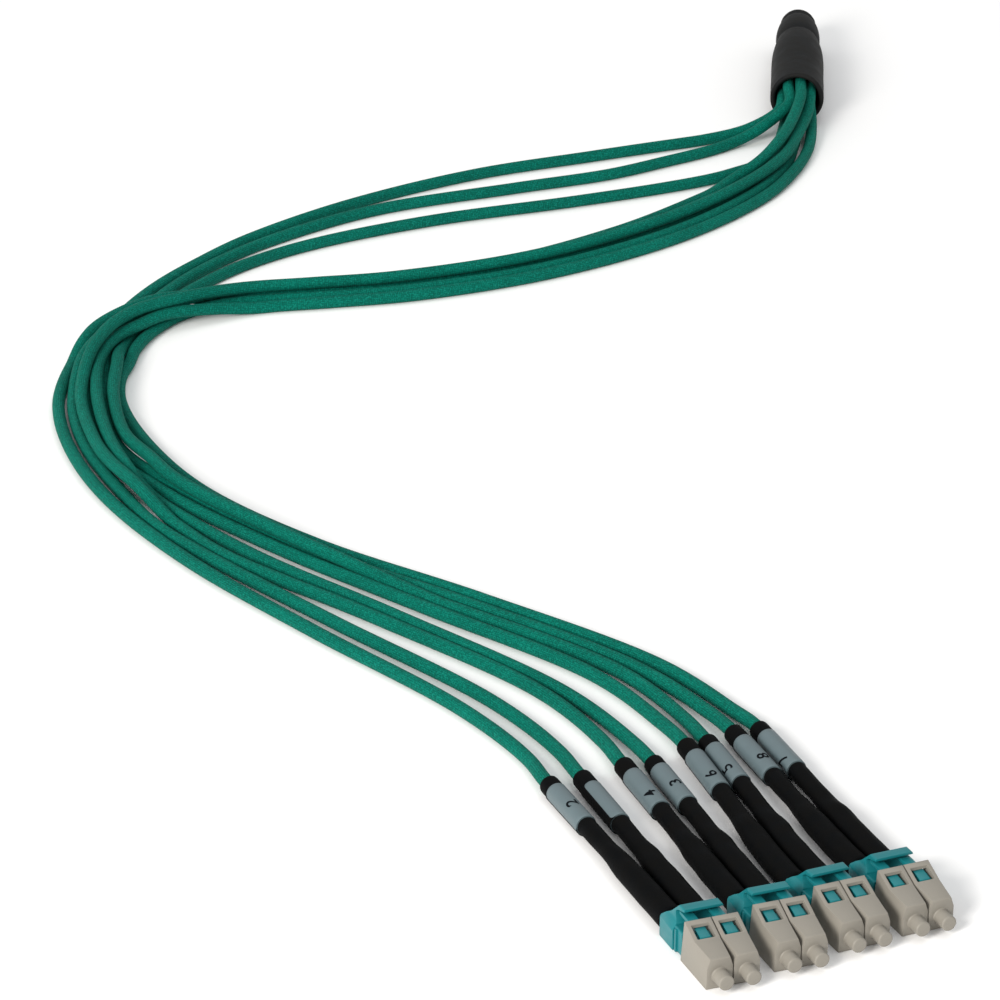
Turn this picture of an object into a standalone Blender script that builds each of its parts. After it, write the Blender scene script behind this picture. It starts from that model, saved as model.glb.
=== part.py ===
# Fan-out end of a fibre optic cable: a stepped heat-shrink boot, eight braided legs that lie
# on the floor in an S, a black heat-shrink tube with a numbered marker sleeve on each leg, and
# four duplex LC connectors whose eight plugs wear push-on dust caps.
# Sizes are in millimetres here and become metres in metres().
import math

import bmesh
import bpy
import numpy as np
from mathutils import Vector

MM = 0.001
GAP = 0.3

LEG_DIA = 3.3
LEG_SIDES_RESOLUTION = 2
LEG_POINT_COUNT = 68
LEG_REST_Z = LEG_DIA / 2 + 0.03

BOOT_RADIUS = 8.0
BOOT_MIDDLE_RADIUS = 6.8
BOOT_SMALL_RADIUS = 5.6
BOOT_LARGE_END = 36.0
BOOT_MIDDLE_START = 47.0
BOOT_SMALL_START = 62.5
BOOT_LENGTH = 66.8
BOOT_BORE_RADIUS = 6.5
BOOT_BORE_DEPTH = 14.0
BOOT_SIDES = 24
BOOT_MOUTH = (33.9, 226.5)
BOOT_TURN = math.radians(3.0)
LEG_RING_RADIUS = 4.3
LEG_INSERTION = BOOT_BORE_DEPTH - GAP

COLLAR_RADIUS = 2.35
SOCKET_DEPTH = 3.3
SOCKET_RADIUS = LEG_DIA / 2 + 0.22
MARKER_LENGTH = 17.0
MARKER_WALL = 0.4
NECK_RADIUS = 1.8
TUBE_RADIUS = 2.2
TUBE_START_Z = 2.35
TUBE_WIDE_RADIUS = 2.95
TUBE_WIDE_LENGTH = 23.0
TUBE_LEAD = 12.0
TUBE_SIDES = 12

PLUG_PITCH = 6.25
AXIS_Z = 3.1
HOUSING_WIDTH = 4.4
HOUSING_FRONT = -4.2
HOUSING_REAR = -23.2
HOUSING_CHAMFER = 0.5
STEM_RADIUS = 1.4
LATCH_ROOT = -5.2
LATCH_HEAD_FRONT = -7.5
LATCH_HEAD_REAR = -10.2
LATCH_KNEE = -15.0
LATCH_TAIL = -18.6
LATCH_TOP = 9.0
LATCH_HEAD_TOP = 8.75
LATCH_WING_DROP = 0.6
LATCH_THICKNESS = 0.9
FERRULE_RADIUS = 0.625
FERRULE_TIP = -2.3
NOSE_BORE_RADIUS = 1.1
NOSE_BORE_DEPTH = 1.8
LATCH_WIDTH = 2.4
LATCH_HEAD_WIDTH = 3.7

CAP_SPACING = 0.35
CAP_WIDTH = PLUG_PITCH - CAP_SPACING
CAP_FRONT_WALL = 1.4
CAP_CAVITY_WIDTH = HOUSING_WIDTH + 2 * GAP
CAP_REAR = -13.5
CAP_TOP_REAR = -12.0
CAP_KINK = -6.6
CAP_ROOF = 0.7
CAP_CHAMFER_WIDTH = 0.75
CAP_CHAMFER_HEIGHT = 2.3
CAP_REAR_HEIGHT = 10.3
CAP_KINK_HEIGHT = 8.1
CAP_FRONT_HEIGHT = 7.2
WINDOW_REAR = -10.6
WINDOW_FRONT = -6.95
WINDOW_WIDTH = 4.2
NUB_RADIUS = 1.75
NUB_LENGTH = 3.9

CLIP_REAR = -25.0
CLIP_SIDE_WALL = 0.725
CLIP_WIDTH = PLUG_PITCH + HOUSING_WIDTH + 2 * CLIP_SIDE_WALL
CLIP_FRONT = -14.2
CLIP_BASE_FRONT = -18.0
CLIP_SIDE_TOP = 4.8
CLIP_TOP = 6.2
CLIP_REAR_TOP = 5.2
CHANNEL_REAR = -23.5
HIP_REAR = -24.0
NOSE_TOP = 6.0
NOSE_INSET = 0.5
PLATE_REAR = -18.2
PLATE_FRONT = -15.7
PLATE_TOP = 10.6
PLATE_BOTTOM = 9.3
PLATE_THICKNESS = 0.6
PLATE_WIDTH = 8.9
TUBE_END_X = CLIP_REAR - GAP

# The duplex connectors: middle of each one's dust caps' front faces on the floor, the heading
# of its plugs below the +X axis in degrees, and the legs on its left and right plug.
DUPLEX_PLACES = {"a": (-3.7, -288.2), "b": (10.9, -280.5), "c": (24.7, -271.6), "d": (38.7, -264.4)}
DUPLEX_HEADINGS = {"a": 68.0, "b": 68.0, "c": 65.0, "d": 65.5}
DUPLEX_LEGS = {"a": ("2", "1"), "b": ("4", "3"), "c": ("6", "5"), "d": ("8", "7")}

# Where each heat-shrink tube starts, on the floor plan.
COLLARS = {
    1: (-34.4, -200.4),
    2: (-41.8, -203.5),
    3: (-18.2, -192.8),
    4: (-25, -194),
    5: (-5.7, -182.2),
    6: (-10.6, -184.1),
    7: (6.3, -175.4),
    8: (0.4, -177.3),
}

# How much of each tube's start shows before its marker sleeve.
COLLAR_LENGTHS = {1: 5.8, 2: 4.0, 3: 4.2, 4: 5.8, 5: 4.3, 6: 6.0, 7: 4.5, 8: 5.5}

# Place of each leg in the boot's mouth: the middle, or a seventh of a turn on the ring.
MOUTH_PLACES = {1: None, 2: 1, 3: 6, 4: 0, 5: 4, 6: 3, 7: 5, 8: 2}

# Each leg's way from the boot to its collar. A point with no height lies on the floor; the
# heights are those of a leg that rides on its neighbours.
ROUTES = {
    1: [
        (32.5, 219.5, 6), (29.5, 203.5, 4.5), (24.5, 185, 2.2), (10.5, 160.5), (-15, 133),
        (-51, 106.5), (-86.5, 92.5), (-109.5, 86.5), (-128, 80.5, 4.1), (-143.5, 68.5, 5.3),
        (-156.4, 53.4, 5.2), (-163.7, 34, 5.3), (-165.2, 9.5), (-160, -18.5), (-147.5, -49.5),
        (-138.5, -67), (-125, -84.5), (-92, -121), (-55, -161), (-40, -185),
    ],
    2: [
        (34.5, 219, 11.5), (31, 204, 9), (26, 189.3, 7.5), (20.8, 180, 5.7), (13, 172.3, 3.1),
        (5, 162), (-21, 134), (-56.5, 108), (-93, 95), (-116, 89), (-134, 81), (-141.5, 75.5, 4.5),
        (-149.3, 69, 5.6), (-161, 53.5, 5.6), (-165, 44, 4.5), (-167.5, 33.5), (-169, 9),
        (-164, -19), (-152, -50.5), (-130, -86), (-98.5, -124), (-62.5, -164.5), (-47, -189),
    ],
    3: [
        (38, 219.5, 3.5), (36.5, 203), (31.7, 184.5), (21, 161), (-4.5, 129.5), (-41, 101.8),
        (-76.5, 85.5), (-100, 79.5), (-119.5, 75), (-134, 67.8, 4), (-144.3, 61.2, 5.2),
        (-150.8, 53.6, 5.2), (-156.5, 44.5, 5.4), (-159.4, 32, 5.2), (-159, 9, 5.2),
        (-154, -19.5, 5.2), (-149, -35, 5), (-140.5, -50.5, 2), (-114, -83), (-78, -116.5),
        (-39, -155), (-23.5, -179.5),
    ],
    4: [
        (37, 219, 7.5), (33, 203, 5.4), (28, 185, 5.4), (13.8, 160.5, 5.2), (-12, 132.5, 4.7),
        (-47.5, 105.5, 5), (-83, 91, 4.7), (-106, 85, 5), (-124.5, 78.5, 6), (-140, 66.5, 8),
        (-153.5, 52.5, 9), (-161, 33, 8.5), (-163, 8.5, 5), (-158, -19.5, 5.2), (-153, -34.5, 5.4),
        (-144.5, -50.5, 5.4), (-133.5, -66.5), (-120.5, -84), (-83.5, -117), (-44.5, -155),
        (-30, -179.5),
    ],
    5: [
        (30, 219.5, 2.5), (27, 203), (21, 188), (13.9, 181.2), (6.7, 175.8), (-8, 168), (-33, 157),
        (-74.5, 140.5), (-107.5, 121.5), (-125.5, 105.5), (-137, 90), (-146.3, 73), (-152.2, 58),
        (-154.7, 47), (-155.3, 37, 3.6), (-155, 28.5, 5), (-154.6, 8.5, 4.6), (-149.5, -18, 4.6),
        (-142.5, -32, 5), (-134, -47.5, 5.2), (-105.5, -78.5, 5), (-87.5, -94, 3.8),
        (-67.5, -109.5), (-26, -144), (-11, -168),
    ],
    6: [
        (28, 220.3, 6.2), (18.8, 214.2, 2.9), (5, 207.6), (-10.4, 201), (-28.5, 193), (-62, 177.5),
        (-98, 152), (-125, 125), (-138.5, 106), (-148.5, 89), (-156, 71), (-161, 53), (-162.4, 36),
        (-161, 7), (-155, -20.5), (-136.5, -48.5), (-108.5, -78.5), (-72, -111), (-31.5, -146.5),
        (-16.5, -170),
    ],
    7: [
        (34, 219.5), (32, 203), (28.2, 185), (16, 160.3), (-8.5, 131), (-45, 104), (-80, 88.5),
        (-103, 83), (-122.5, 79.5), (-134.5, 74.4), (-141.5, 68.2), (-147.6, 57.5), (-151.2, 46),
        (-152.4, 35.5), (-153.9, 25.5), (-152.6, 8.5), (-143.5, -18.5), (-127, -47.5),
        (-97.5, -77.5), (-58, -106.5), (-16, -141), (0.5, -164),
    ],
    8: [
        (31.2, 219.5, 9.4), (24, 211.5, 5.4), (17.3, 207.5, 2.6), (7.1, 199), (-5.7, 190),
        (-23, 178.7), (-50, 167), (-90, 148.5), (-119, 124), (-134, 105.5), (-144, 88.5),
        (-151.5, 70.5), (-157.3, 53), (-158.8, 38), (-157.8, 20), (-157, 6.5), (-150.5, -21),
        (-131.5, -48), (-103, -78), (-63.5, -107.5), (-22, -142), (-5.5, -164.5),
    ],
}

MATERIALS = {
    "boot_black": ((0.030, 0.030, 0.029), 0.62, 0.0),
    "heatshrink_black": ((0.010, 0.011, 0.012), 0.55, 0.0),
    "marker_grey": ((0.205, 0.262, 0.286), 0.5, 0.0),
    "braid_green": ((0.004, 0.155, 0.106), 0.75, 0.0),
    "aqua_plastic": ((0.016, 0.300, 0.310), 0.35, 0.0),
    "cap_beige": ((0.500, 0.462, 0.400), 0.42, 0.0),
    "ceramic_white": ((0.800, 0.790, 0.760), 0.2, 0.0),
}


def metres(values):
    return tuple(v * MM for v in values)


def make_materials():
    made = {}
    for name, (colour, roughness, metallic) in MATERIALS.items():
        material = bpy.data.materials.new(name)
        material.use_nodes = True
        shader = material.node_tree.nodes["Principled BSDF"]
        shader.inputs["Base Color"].default_value = (*colour, 1.0)
        shader.inputs["Roughness"].default_value = roughness
        shader.inputs["Metallic"].default_value = metallic
        material.diffuse_color = (*colour, 1.0)
        made[name] = material
    return made


def mesh_from(name, points, faces):
    mesh = bpy.data.meshes.new(name)
    mesh.from_pydata([metres(p) for p in points], [], faces)
    work = bmesh.new()
    work.from_mesh(mesh)
    bmesh.ops.recalc_face_normals(work, faces=work.faces)
    work.to_mesh(mesh)
    work.free()
    return mesh


def add_object(name, data, parent=None, location=(0, 0, 0), rotation=(0, 0, 0)):
    made = bpy.data.objects.new(name, data)
    bpy.context.scene.collection.objects.link(made)
    made.parent = parent
    made.location = metres(location)
    made.rotation_euler = rotation
    return made


def extrusion(profile, half_width, centre_y=0.0):
    """Points and faces of an X-Z outline drawn out along Y."""
    count = len(profile)
    points = [(x, centre_y + side * half_width, z) for side in (-1, 1) for x, z in profile]
    faces = [list(range(count)), list(range(2 * count - 1, count - 1, -1))]
    for i in range(count):
        j = (i + 1) % count
        faces.append([i, j, count + j, count + i])
    return points, faces


def cross_extrusion(profile, x_from, x_to):
    """Points and faces of a Y-Z outline drawn out along X."""
    count = len(profile)
    points = [(x, y, z) for x in (x_from, x_to) for y, z in profile]
    faces = [list(range(count)), list(range(2 * count - 1, count - 1, -1))]
    for i in range(count):
        j = (i + 1) % count
        faces.append([i, j, count + j, count + i])
    return points, faces


def box(x_range, y_range, z_range):
    y_middle = (y_range[0] + y_range[1]) / 2
    half = (y_range[1] - y_range[0]) / 2
    outline = [(x_range[0], z_range[0]), (x_range[1], z_range[0]),
               (x_range[1], z_range[1]), (x_range[0], z_range[1])]
    return extrusion(outline, half, y_middle)


def lathe(profile, sides, centre=(0.0, 0.0)):
    """Points and faces of (x, radius) turned about a line along X; radius 0 closes an end."""
    points, rings = [], []
    for x, radius in profile:
        if radius == 0:
            rings.append([len(points)])
            points.append((x, centre[0], centre[1]))
            continue
        ring = []
        for i in range(sides):
            angle = math.tau * (i + 0.5) / sides
            ring.append(len(points))
            points.append((x, centre[0] + radius * math.cos(angle),
                           centre[1] + radius * math.sin(angle)))
        rings.append(ring)
    return points, ring_faces(rings)


def ring_faces(rings):
    faces = []
    for first, second in zip(rings, rings[1:]):
        if len(first) == 1 and len(second) == 1:
            continue
        sides = max(len(first), len(second))
        for i in range(sides):
            j = (i + 1) % sides
            if len(first) == 1:
                faces.append([first[0], second[i], second[j]])
            elif len(second) == 1:
                faces.append([first[i], first[j], second[0]])
            else:
                faces.append([first[i], first[j], second[j], second[i]])
    return faces


def combined(base, steps):
    """A mesh from one shape with others joined to it or cut from it, in order."""
    body = add_object("body", mesh_from("body", *base))
    helpers = []
    for operation, shape in steps:
        helper = add_object("helper", mesh_from("helper", *shape))
        helper.hide_render = True
        helper.display_type = "WIRE"
        modifier = body.modifiers.new(operation.lower(), "BOOLEAN")
        modifier.operation = operation
        modifier.solver = "EXACT"
        modifier.object = helper
        helpers.append(helper)
    bpy.context.view_layer.update()
    evaluated = body.evaluated_get(bpy.context.evaluated_depsgraph_get())
    mesh = bpy.data.meshes.new_from_object(evaluated)
    for used in [body, *helpers]:
        bpy.data.objects.remove(used)
    return mesh


def dressed(mesh, name, material, smooth_angle=35):
    mesh.name = name
    mesh.materials.clear()
    mesh.materials.append(material)
    for polygon in mesh.polygons:
        polygon.use_smooth = True
        polygon.material_index = 0
    mesh.set_sharp_from_angle(angle=math.radians(smooth_angle))
    return mesh


def smooth_path(points, count):
    """Evenly spaced points on the smooth curve through the given ones."""
    knots = np.array(points, dtype=float)
    steps = np.sqrt(np.linalg.norm(np.diff(knots, axis=0), axis=1))
    times = np.concatenate([[0.0], np.cumsum(steps)])
    slopes = np.zeros_like(knots)
    slopes[0] = (knots[1] - knots[0]) / steps[0]
    slopes[-1] = (knots[-1] - knots[-2]) / steps[-1]
    for i in range(1, len(knots) - 1):
        before = (knots[i] - knots[i - 1]) / steps[i - 1]
        after = (knots[i + 1] - knots[i]) / steps[i]
        slopes[i] = (before * steps[i] + after * steps[i - 1]) / (steps[i] + steps[i - 1])
    fine = []
    for i, step in enumerate(steps):
        for t in np.linspace(0, 1, 40, endpoint=False):
            fine.append((2 * t**3 - 3 * t**2 + 1) * knots[i] + (t**3 - 2 * t**2 + t) * step * slopes[i]
                        + (3 * t**2 - 2 * t**3) * knots[i + 1] + (t**3 - t**2) * step * slopes[i + 1])
    fine.append(knots[-1])
    fine = np.array(fine)
    travelled = np.concatenate([[0.0], np.cumsum(np.linalg.norm(np.diff(fine, axis=0), axis=1))])
    wanted = np.linspace(0, travelled[-1], count)
    return np.stack([np.interp(wanted, travelled, fine[:, k]) for k in range(3)], axis=1)


def make_boot(materials):
    large, middle, small = BOOT_RADIUS, BOOT_MIDDLE_RADIUS, BOOT_SMALL_RADIUS
    outline = [
        (0.0, 0.0), (0.0, large - 0.5), (0.5, large), (BOOT_LARGE_END - 6.0, large - 0.05),
        (BOOT_LARGE_END, large - 0.25), (BOOT_LARGE_END + 5.0, large - 0.7),
        (BOOT_MIDDLE_START - 2.0, middle), (BOOT_MIDDLE_START, middle - 0.2),
        (BOOT_MIDDLE_START + 2.0, middle), (BOOT_MIDDLE_START + 7.0, middle - 0.15),
        (BOOT_SMALL_START - 2.5, small + 0.45), (BOOT_SMALL_START, small),
        (BOOT_LENGTH - 1.8, small - 0.1), (BOOT_LENGTH, small - 1.1), (BOOT_LENGTH, 0.0),
    ]
    bore = [(-1.0, 0.0), (-1.0, BOOT_BORE_RADIUS + 0.4), (0.6, BOOT_BORE_RADIUS),
            (BOOT_BORE_DEPTH, BOOT_BORE_RADIUS), (BOOT_BORE_DEPTH, 0.0)]
    mesh = combined(lathe(outline, BOOT_SIDES), [("DIFFERENCE", lathe(bore, BOOT_SIDES))])
    dressed(mesh, "fanout_boot", materials["boot_black"])
    rest = BOOT_RADIUS * math.cos(math.pi / BOOT_SIDES)
    add_object("fanout_boot", mesh, None, (*BOOT_MOUTH, rest), (0, 0, math.pi / 2 - BOOT_TURN))


def mouth_points(leg):
    """Where a leg runs inside the boot: its end, and where it leaves the mouth."""
    way = np.array([math.sin(BOOT_TURN), math.cos(BOOT_TURN)])
    across = np.array([way[1], -way[0]])
    place = MOUTH_PLACES[leg]
    side, height = 0.0, BOOT_RADIUS
    if place is not None:
        angle = math.tau * (place + 0.5) / 7
        side = LEG_RING_RADIUS * math.cos(angle)
        height += LEG_RING_RADIUS * math.sin(angle)
    points = []
    for depth in (LEG_INSERTION, LEG_INSERTION / 2, 0.5):
        plan = np.array(BOOT_MOUTH) + way * depth + across * side
        points.append((plan[0], plan[1], height))
    return points


def unit_point(unit, x, y):
    """Floor-plan place of a point given ahead of and to the right of a duplex connector."""
    heading = math.radians(DUPLEX_HEADINGS[unit])
    ahead = np.array([math.cos(heading), -math.sin(heading)])
    right = np.array([-ahead[1], ahead[0]])
    return np.array(DUPLEX_PLACES[unit]) + ahead * x + right * y


def plug_offset(leg):
    """The duplex connector that holds a leg's plug, and the plug's place across it."""
    for unit, legs in DUPLEX_LEGS.items():
        if str(leg) in legs:
            return unit, (legs.index(str(leg)) - 0.5) * PLUG_PITCH
    raise ValueError(f"leg {leg} has no plug")


def tube_line(leg):
    """Start, last straight stretch and end of a leg's heat-shrink tube."""
    unit, y = plug_offset(leg)
    end = unit_point(unit, TUBE_END_X, y)
    lead = unit_point(unit, TUBE_END_X - TUBE_LEAD, y)
    start = np.array(COLLARS[leg])
    return (Vector((*start, TUBE_START_Z)), Vector((*lead, AXIS_Z)), Vector((*end, AXIS_Z)))


def tube_place(leg, distance):
    """Point on a heat-shrink tube's centreline, a straight run that eases into the plug's axis."""
    start, lead, end = tube_line(leg)
    run = (end - start).length
    t = distance / run
    straight = start.lerp(end, t)
    bend = lead - start.lerp(end, 1 - (end - lead).length / run)
    ease = 4 * (t ** 3) * (1 - t) * 1.3 if 0 < t < 1 else 0.0
    return straight + Vector((bend.x, bend.y, 0)) * ease


def make_heatshrink(leg, materials):
    start, _, end = tube_line(leg)
    length = (end - start).length
    collar = COLLAR_LENGTHS[leg]
    neck_end = collar + MARKER_LENGTH + GAP
    wide = length - TUBE_WIDE_LENGTH
    stations = [
        (0.0, 0.0), (0.0, COLLAR_RADIUS - 0.12), (0.15, COLLAR_RADIUS),
        (collar, COLLAR_RADIUS), (collar, NECK_RADIUS), (neck_end, NECK_RADIUS),
        (neck_end, TUBE_RADIUS), (wide - 12.0, TUBE_RADIUS + 0.05), (wide - 7.0, TUBE_RADIUS + 0.3),
        (wide - 3.5, TUBE_RADIUS + 0.35), (wide, TUBE_WIDE_RADIUS - 0.15), (wide + 6.0, TUBE_WIDE_RADIUS),
        (length, TUBE_WIDE_RADIUS), (length, 0.0),
    ]
    body = swept_stations(leg, stations)
    socket = swept_stations(leg, [(-1.0, 0.0), (-1.0, SOCKET_RADIUS), (SOCKET_DEPTH, SOCKET_RADIUS),
                                  (SOCKET_DEPTH, 0.0)])
    mesh = combined(body, [("DIFFERENCE", socket)])
    name = f"heatshrink_{leg}"
    add_object(name, dressed(mesh, name, materials["heatshrink_black"]))


def swept_stations(leg, stations):
    """A round solid on a tube's centreline, from (distance, radius) stations."""
    points, rings = [], []
    for distance, radius in stations:
        place = tube_place(leg, distance)
        way = (tube_place(leg, distance + 0.5) - tube_place(leg, distance - 0.5)).normalized()
        if radius == 0:
            rings.append([len(points)])
            points.append(tuple(place))
            continue
        across = way.cross(Vector((0, 0, 1))).normalized()
        up = across.cross(way)
        ring = []
        for i in range(TUBE_SIDES):
            angle = math.tau * (i + 0.5) / TUBE_SIDES
            ring.append(len(points))
            points.append(tuple(place + (across * math.cos(angle) + up * math.sin(angle)) * radius))
        rings.append(ring)
    return points, ring_faces(rings)


def make_marker(leg, materials):
    """The numbered sleeve: a thin ring round the tube's neck."""
    inner = NECK_RADIUS + 0.25
    outer = inner + MARKER_WALL
    first = COLLAR_LENGTHS[leg] + GAP
    last = COLLAR_LENGTHS[leg] + MARKER_LENGTH
    middle = (first + last) / 2
    stations = [(first, inner), (first, outer), (middle, outer), (last, outer), (last, inner),
                (middle, inner), (first, inner)]
    points, rings = [], []
    for distance, radius in stations[:-1]:
        ring_points, _ = swept_stations(leg, [(distance, radius)])
        rings.append(list(range(len(points), len(points) + TUBE_SIDES)))
        points.extend(ring_points)
    rings.append(rings[0])
    name = f"marker_sleeve_{leg}"
    mesh = mesh_from(name, points, ring_faces(rings))
    add_object(name, dressed(mesh, name, materials["marker_grey"]))


def make_leg(leg, materials):
    route = mouth_points(leg)
    for point in ROUTES[leg]:
        height = point[2] if len(point) == 3 else LEG_REST_Z
        route.append((point[0], point[1], height))
    route.append(tuple(tube_place(leg, -3.0)))
    route.append(tuple(tube_place(leg, SOCKET_DEPTH - GAP)))
    path = smooth_path(route, LEG_POINT_COUNT)
    path[:, 2] = np.maximum(path[:, 2], LEG_REST_Z)
    name = f"leg_{leg}"
    curve = bpy.data.curves.new(name, "CURVE")
    curve.dimensions = "3D"
    curve.bevel_depth = LEG_DIA / 2 * MM
    curve.bevel_resolution = LEG_SIDES_RESOLUTION
    curve.use_fill_caps = True
    spline = curve.splines.new("POLY")
    spline.points.add(len(path) - 1)
    for target, place in zip(spline.points, path):
        target.co = (*metres(place), 1.0)
    spline.use_smooth = True
    curve.materials.append(materials["braid_green"])
    add_object(name, curve)


def cap_mesh(materials):
    """Dust cap about the plug's axis, with x = 0 at the cap's front face."""
    half = CAP_WIDTH / 2
    floor = -AXIS_Z
    rear_top = CAP_REAR_HEIGHT - AXIS_Z
    kink_top = CAP_KINK_HEIGHT - AXIS_Z
    front_top = CAP_FRONT_HEIGHT - AXIS_Z
    outline = [(CAP_REAR, floor + 0.25), (CAP_REAR + 0.2, floor), (-0.4, floor), (0.0, floor + 0.4),
               (0.2, front_top - 0.2), (-0.2, front_top + 0.1), (CAP_KINK, kink_top),
               (CAP_TOP_REAR + 0.4, rear_top), (CAP_TOP_REAR, rear_top - 0.1)]
    slope = (rear_top - kink_top) / (CAP_TOP_REAR - CAP_KINK)
    cavity_top = HOUSING_WIDTH / 2 + GAP + 0.15
    behind = CAP_REAR - 1.5
    latch_room = [(behind, 0.0), (LATCH_ROOT + 0.8, 0.0), (LATCH_ROOT + 0.6, cavity_top - 0.1),
                  (CAP_KINK, kink_top - CAP_ROOF),
                  (behind, kink_top - CAP_ROOF + (behind - CAP_KINK) * slope)]
    nub = [(-0.6, 0.0), (-0.6, NUB_RADIUS), (NUB_LENGTH - 0.5, NUB_RADIUS),
           (NUB_LENGTH - 0.15, NUB_RADIUS - 0.15), (NUB_LENGTH, NUB_RADIUS - 0.5), (NUB_LENGTH, 0.0)]
    room_half = CAP_CAVITY_WIDTH / 2
    window_half = WINDOW_WIDTH / 2
    steps = [
        ("DIFFERENCE", box((behind, -CAP_FRONT_WALL), (-room_half, room_half), (-room_half, cavity_top))),
        ("DIFFERENCE", extrusion(latch_room, window_half + 0.05)),
        ("DIFFERENCE", box((WINDOW_REAR, WINDOW_FRONT), (-window_half, window_half), (cavity_top, 9.0))),
        ("UNION", lathe(nub, 16)),
    ]
    for side in (-1, 1):
        steps.insert(0, ("DIFFERENCE", edge_chamfer(side, half)))
    return dressed(combined(extrusion(outline, half), steps), "dust_cap", materials["cap_beige"])


def edge_chamfer(side, half):
    """Wedge that takes the upper edge off a dust cap, from nothing at its kink to its front."""
    points = []
    for x, height, share in ((CAP_KINK, CAP_KINK_HEIGHT, 0.06), (0.6, CAP_FRONT_HEIGHT, 1.0)):
        z = height - AXIS_Z
        width, drop = CAP_CHAMFER_WIDTH * share, CAP_CHAMFER_HEIGHT * share
        points.append((x, side * (half - 1.1 * width), z + 0.1 * drop))
        points.append((x, side * (half + 0.1 * width), z - 1.1 * drop))
        points.append((x, side * (half + 0.8), z + 0.9))
    faces = [[0, 1, 2], [3, 5, 4]]
    for j in range(3):
        k = (j + 1) % 3
        faces.append([j, j + 3, k + 3, k])
    return points, faces


def chamfered_square(half, chamfer, centre_y=0.0, centre_z=0.0):
    """Y-Z outline of a plug's body, with its upper corners taken off."""
    return [(centre_y - half, centre_z - half), (centre_y + half, centre_z - half),
            (centre_y + half, centre_z + half - chamfer), (centre_y + half - chamfer, centre_z + half),
            (centre_y - half + chamfer, centre_z + half), (centre_y - half, centre_z + half - chamfer)]


def plug_mesh(materials):
    """LC plug body with its latch lever and rear stem, about the plug's axis."""
    half = HOUSING_WIDTH / 2
    body = cross_extrusion(chamfered_square(half, HOUSING_CHAMFER), HOUSING_REAR, HOUSING_FRONT)
    top = LATCH_TOP - AXIS_Z
    head_top = LATCH_HEAD_TOP - AXIS_Z
    head_front = head_top - 0.55
    lever = [(LATCH_ROOT, half - 0.4), (LATCH_ROOT, half + 0.35), (LATCH_HEAD_FRONT + 0.1, head_front - 0.9),
             (LATCH_HEAD_FRONT, head_front), (LATCH_HEAD_REAR, head_top), (LATCH_KNEE, top),
             (LATCH_TAIL, top), (LATCH_TAIL, top - LATCH_THICKNESS + 0.1),
             (LATCH_KNEE, top - LATCH_THICKNESS), (LATCH_HEAD_REAR, head_top - 1.3),
             (LATCH_ROOT - 1.8, half - 0.4)]
    wings = [(LATCH_HEAD_FRONT, head_front - 1.1), (LATCH_HEAD_FRONT, head_front - LATCH_WING_DROP),
             (LATCH_HEAD_REAR, head_top - LATCH_WING_DROP), (LATCH_HEAD_REAR, head_top - 1.2)]
    stem = [(CLIP_REAR + GAP, 0.0), (CLIP_REAR + GAP, STEM_RADIUS), (HOUSING_REAR + 1.0, STEM_RADIUS),
            (HOUSING_REAR + 1.0, 0.0)]
    bore = [(HOUSING_FRONT - NOSE_BORE_DEPTH, 0.0), (HOUSING_FRONT - NOSE_BORE_DEPTH, NOSE_BORE_RADIUS),
            (HOUSING_FRONT + 1.0, NOSE_BORE_RADIUS), (HOUSING_FRONT + 1.0, 0.0)]
    steps = [
        ("UNION", extrusion(lever, LATCH_WIDTH / 2)),
        ("UNION", extrusion(wings, LATCH_HEAD_WIDTH / 2)),
        ("UNION", lathe(stem, 12)),
        ("DIFFERENCE", lathe(bore, 12)),
    ]
    return dressed(combined(body, steps), "lc_plug", materials["aqua_plastic"])


def ferrule_mesh(materials):
    rear = HOUSING_FRONT - NOSE_BORE_DEPTH + GAP
    shape = [(rear, 0.0), (rear, FERRULE_RADIUS), (FERRULE_TIP - 0.2, FERRULE_RADIUS),
             (FERRULE_TIP, FERRULE_RADIUS - 0.15), (FERRULE_TIP, 0.0)]
    return dressed(mesh_from("ferrule", *lathe(shape, 12)), "ferrule", materials["ceramic_white"])


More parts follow.
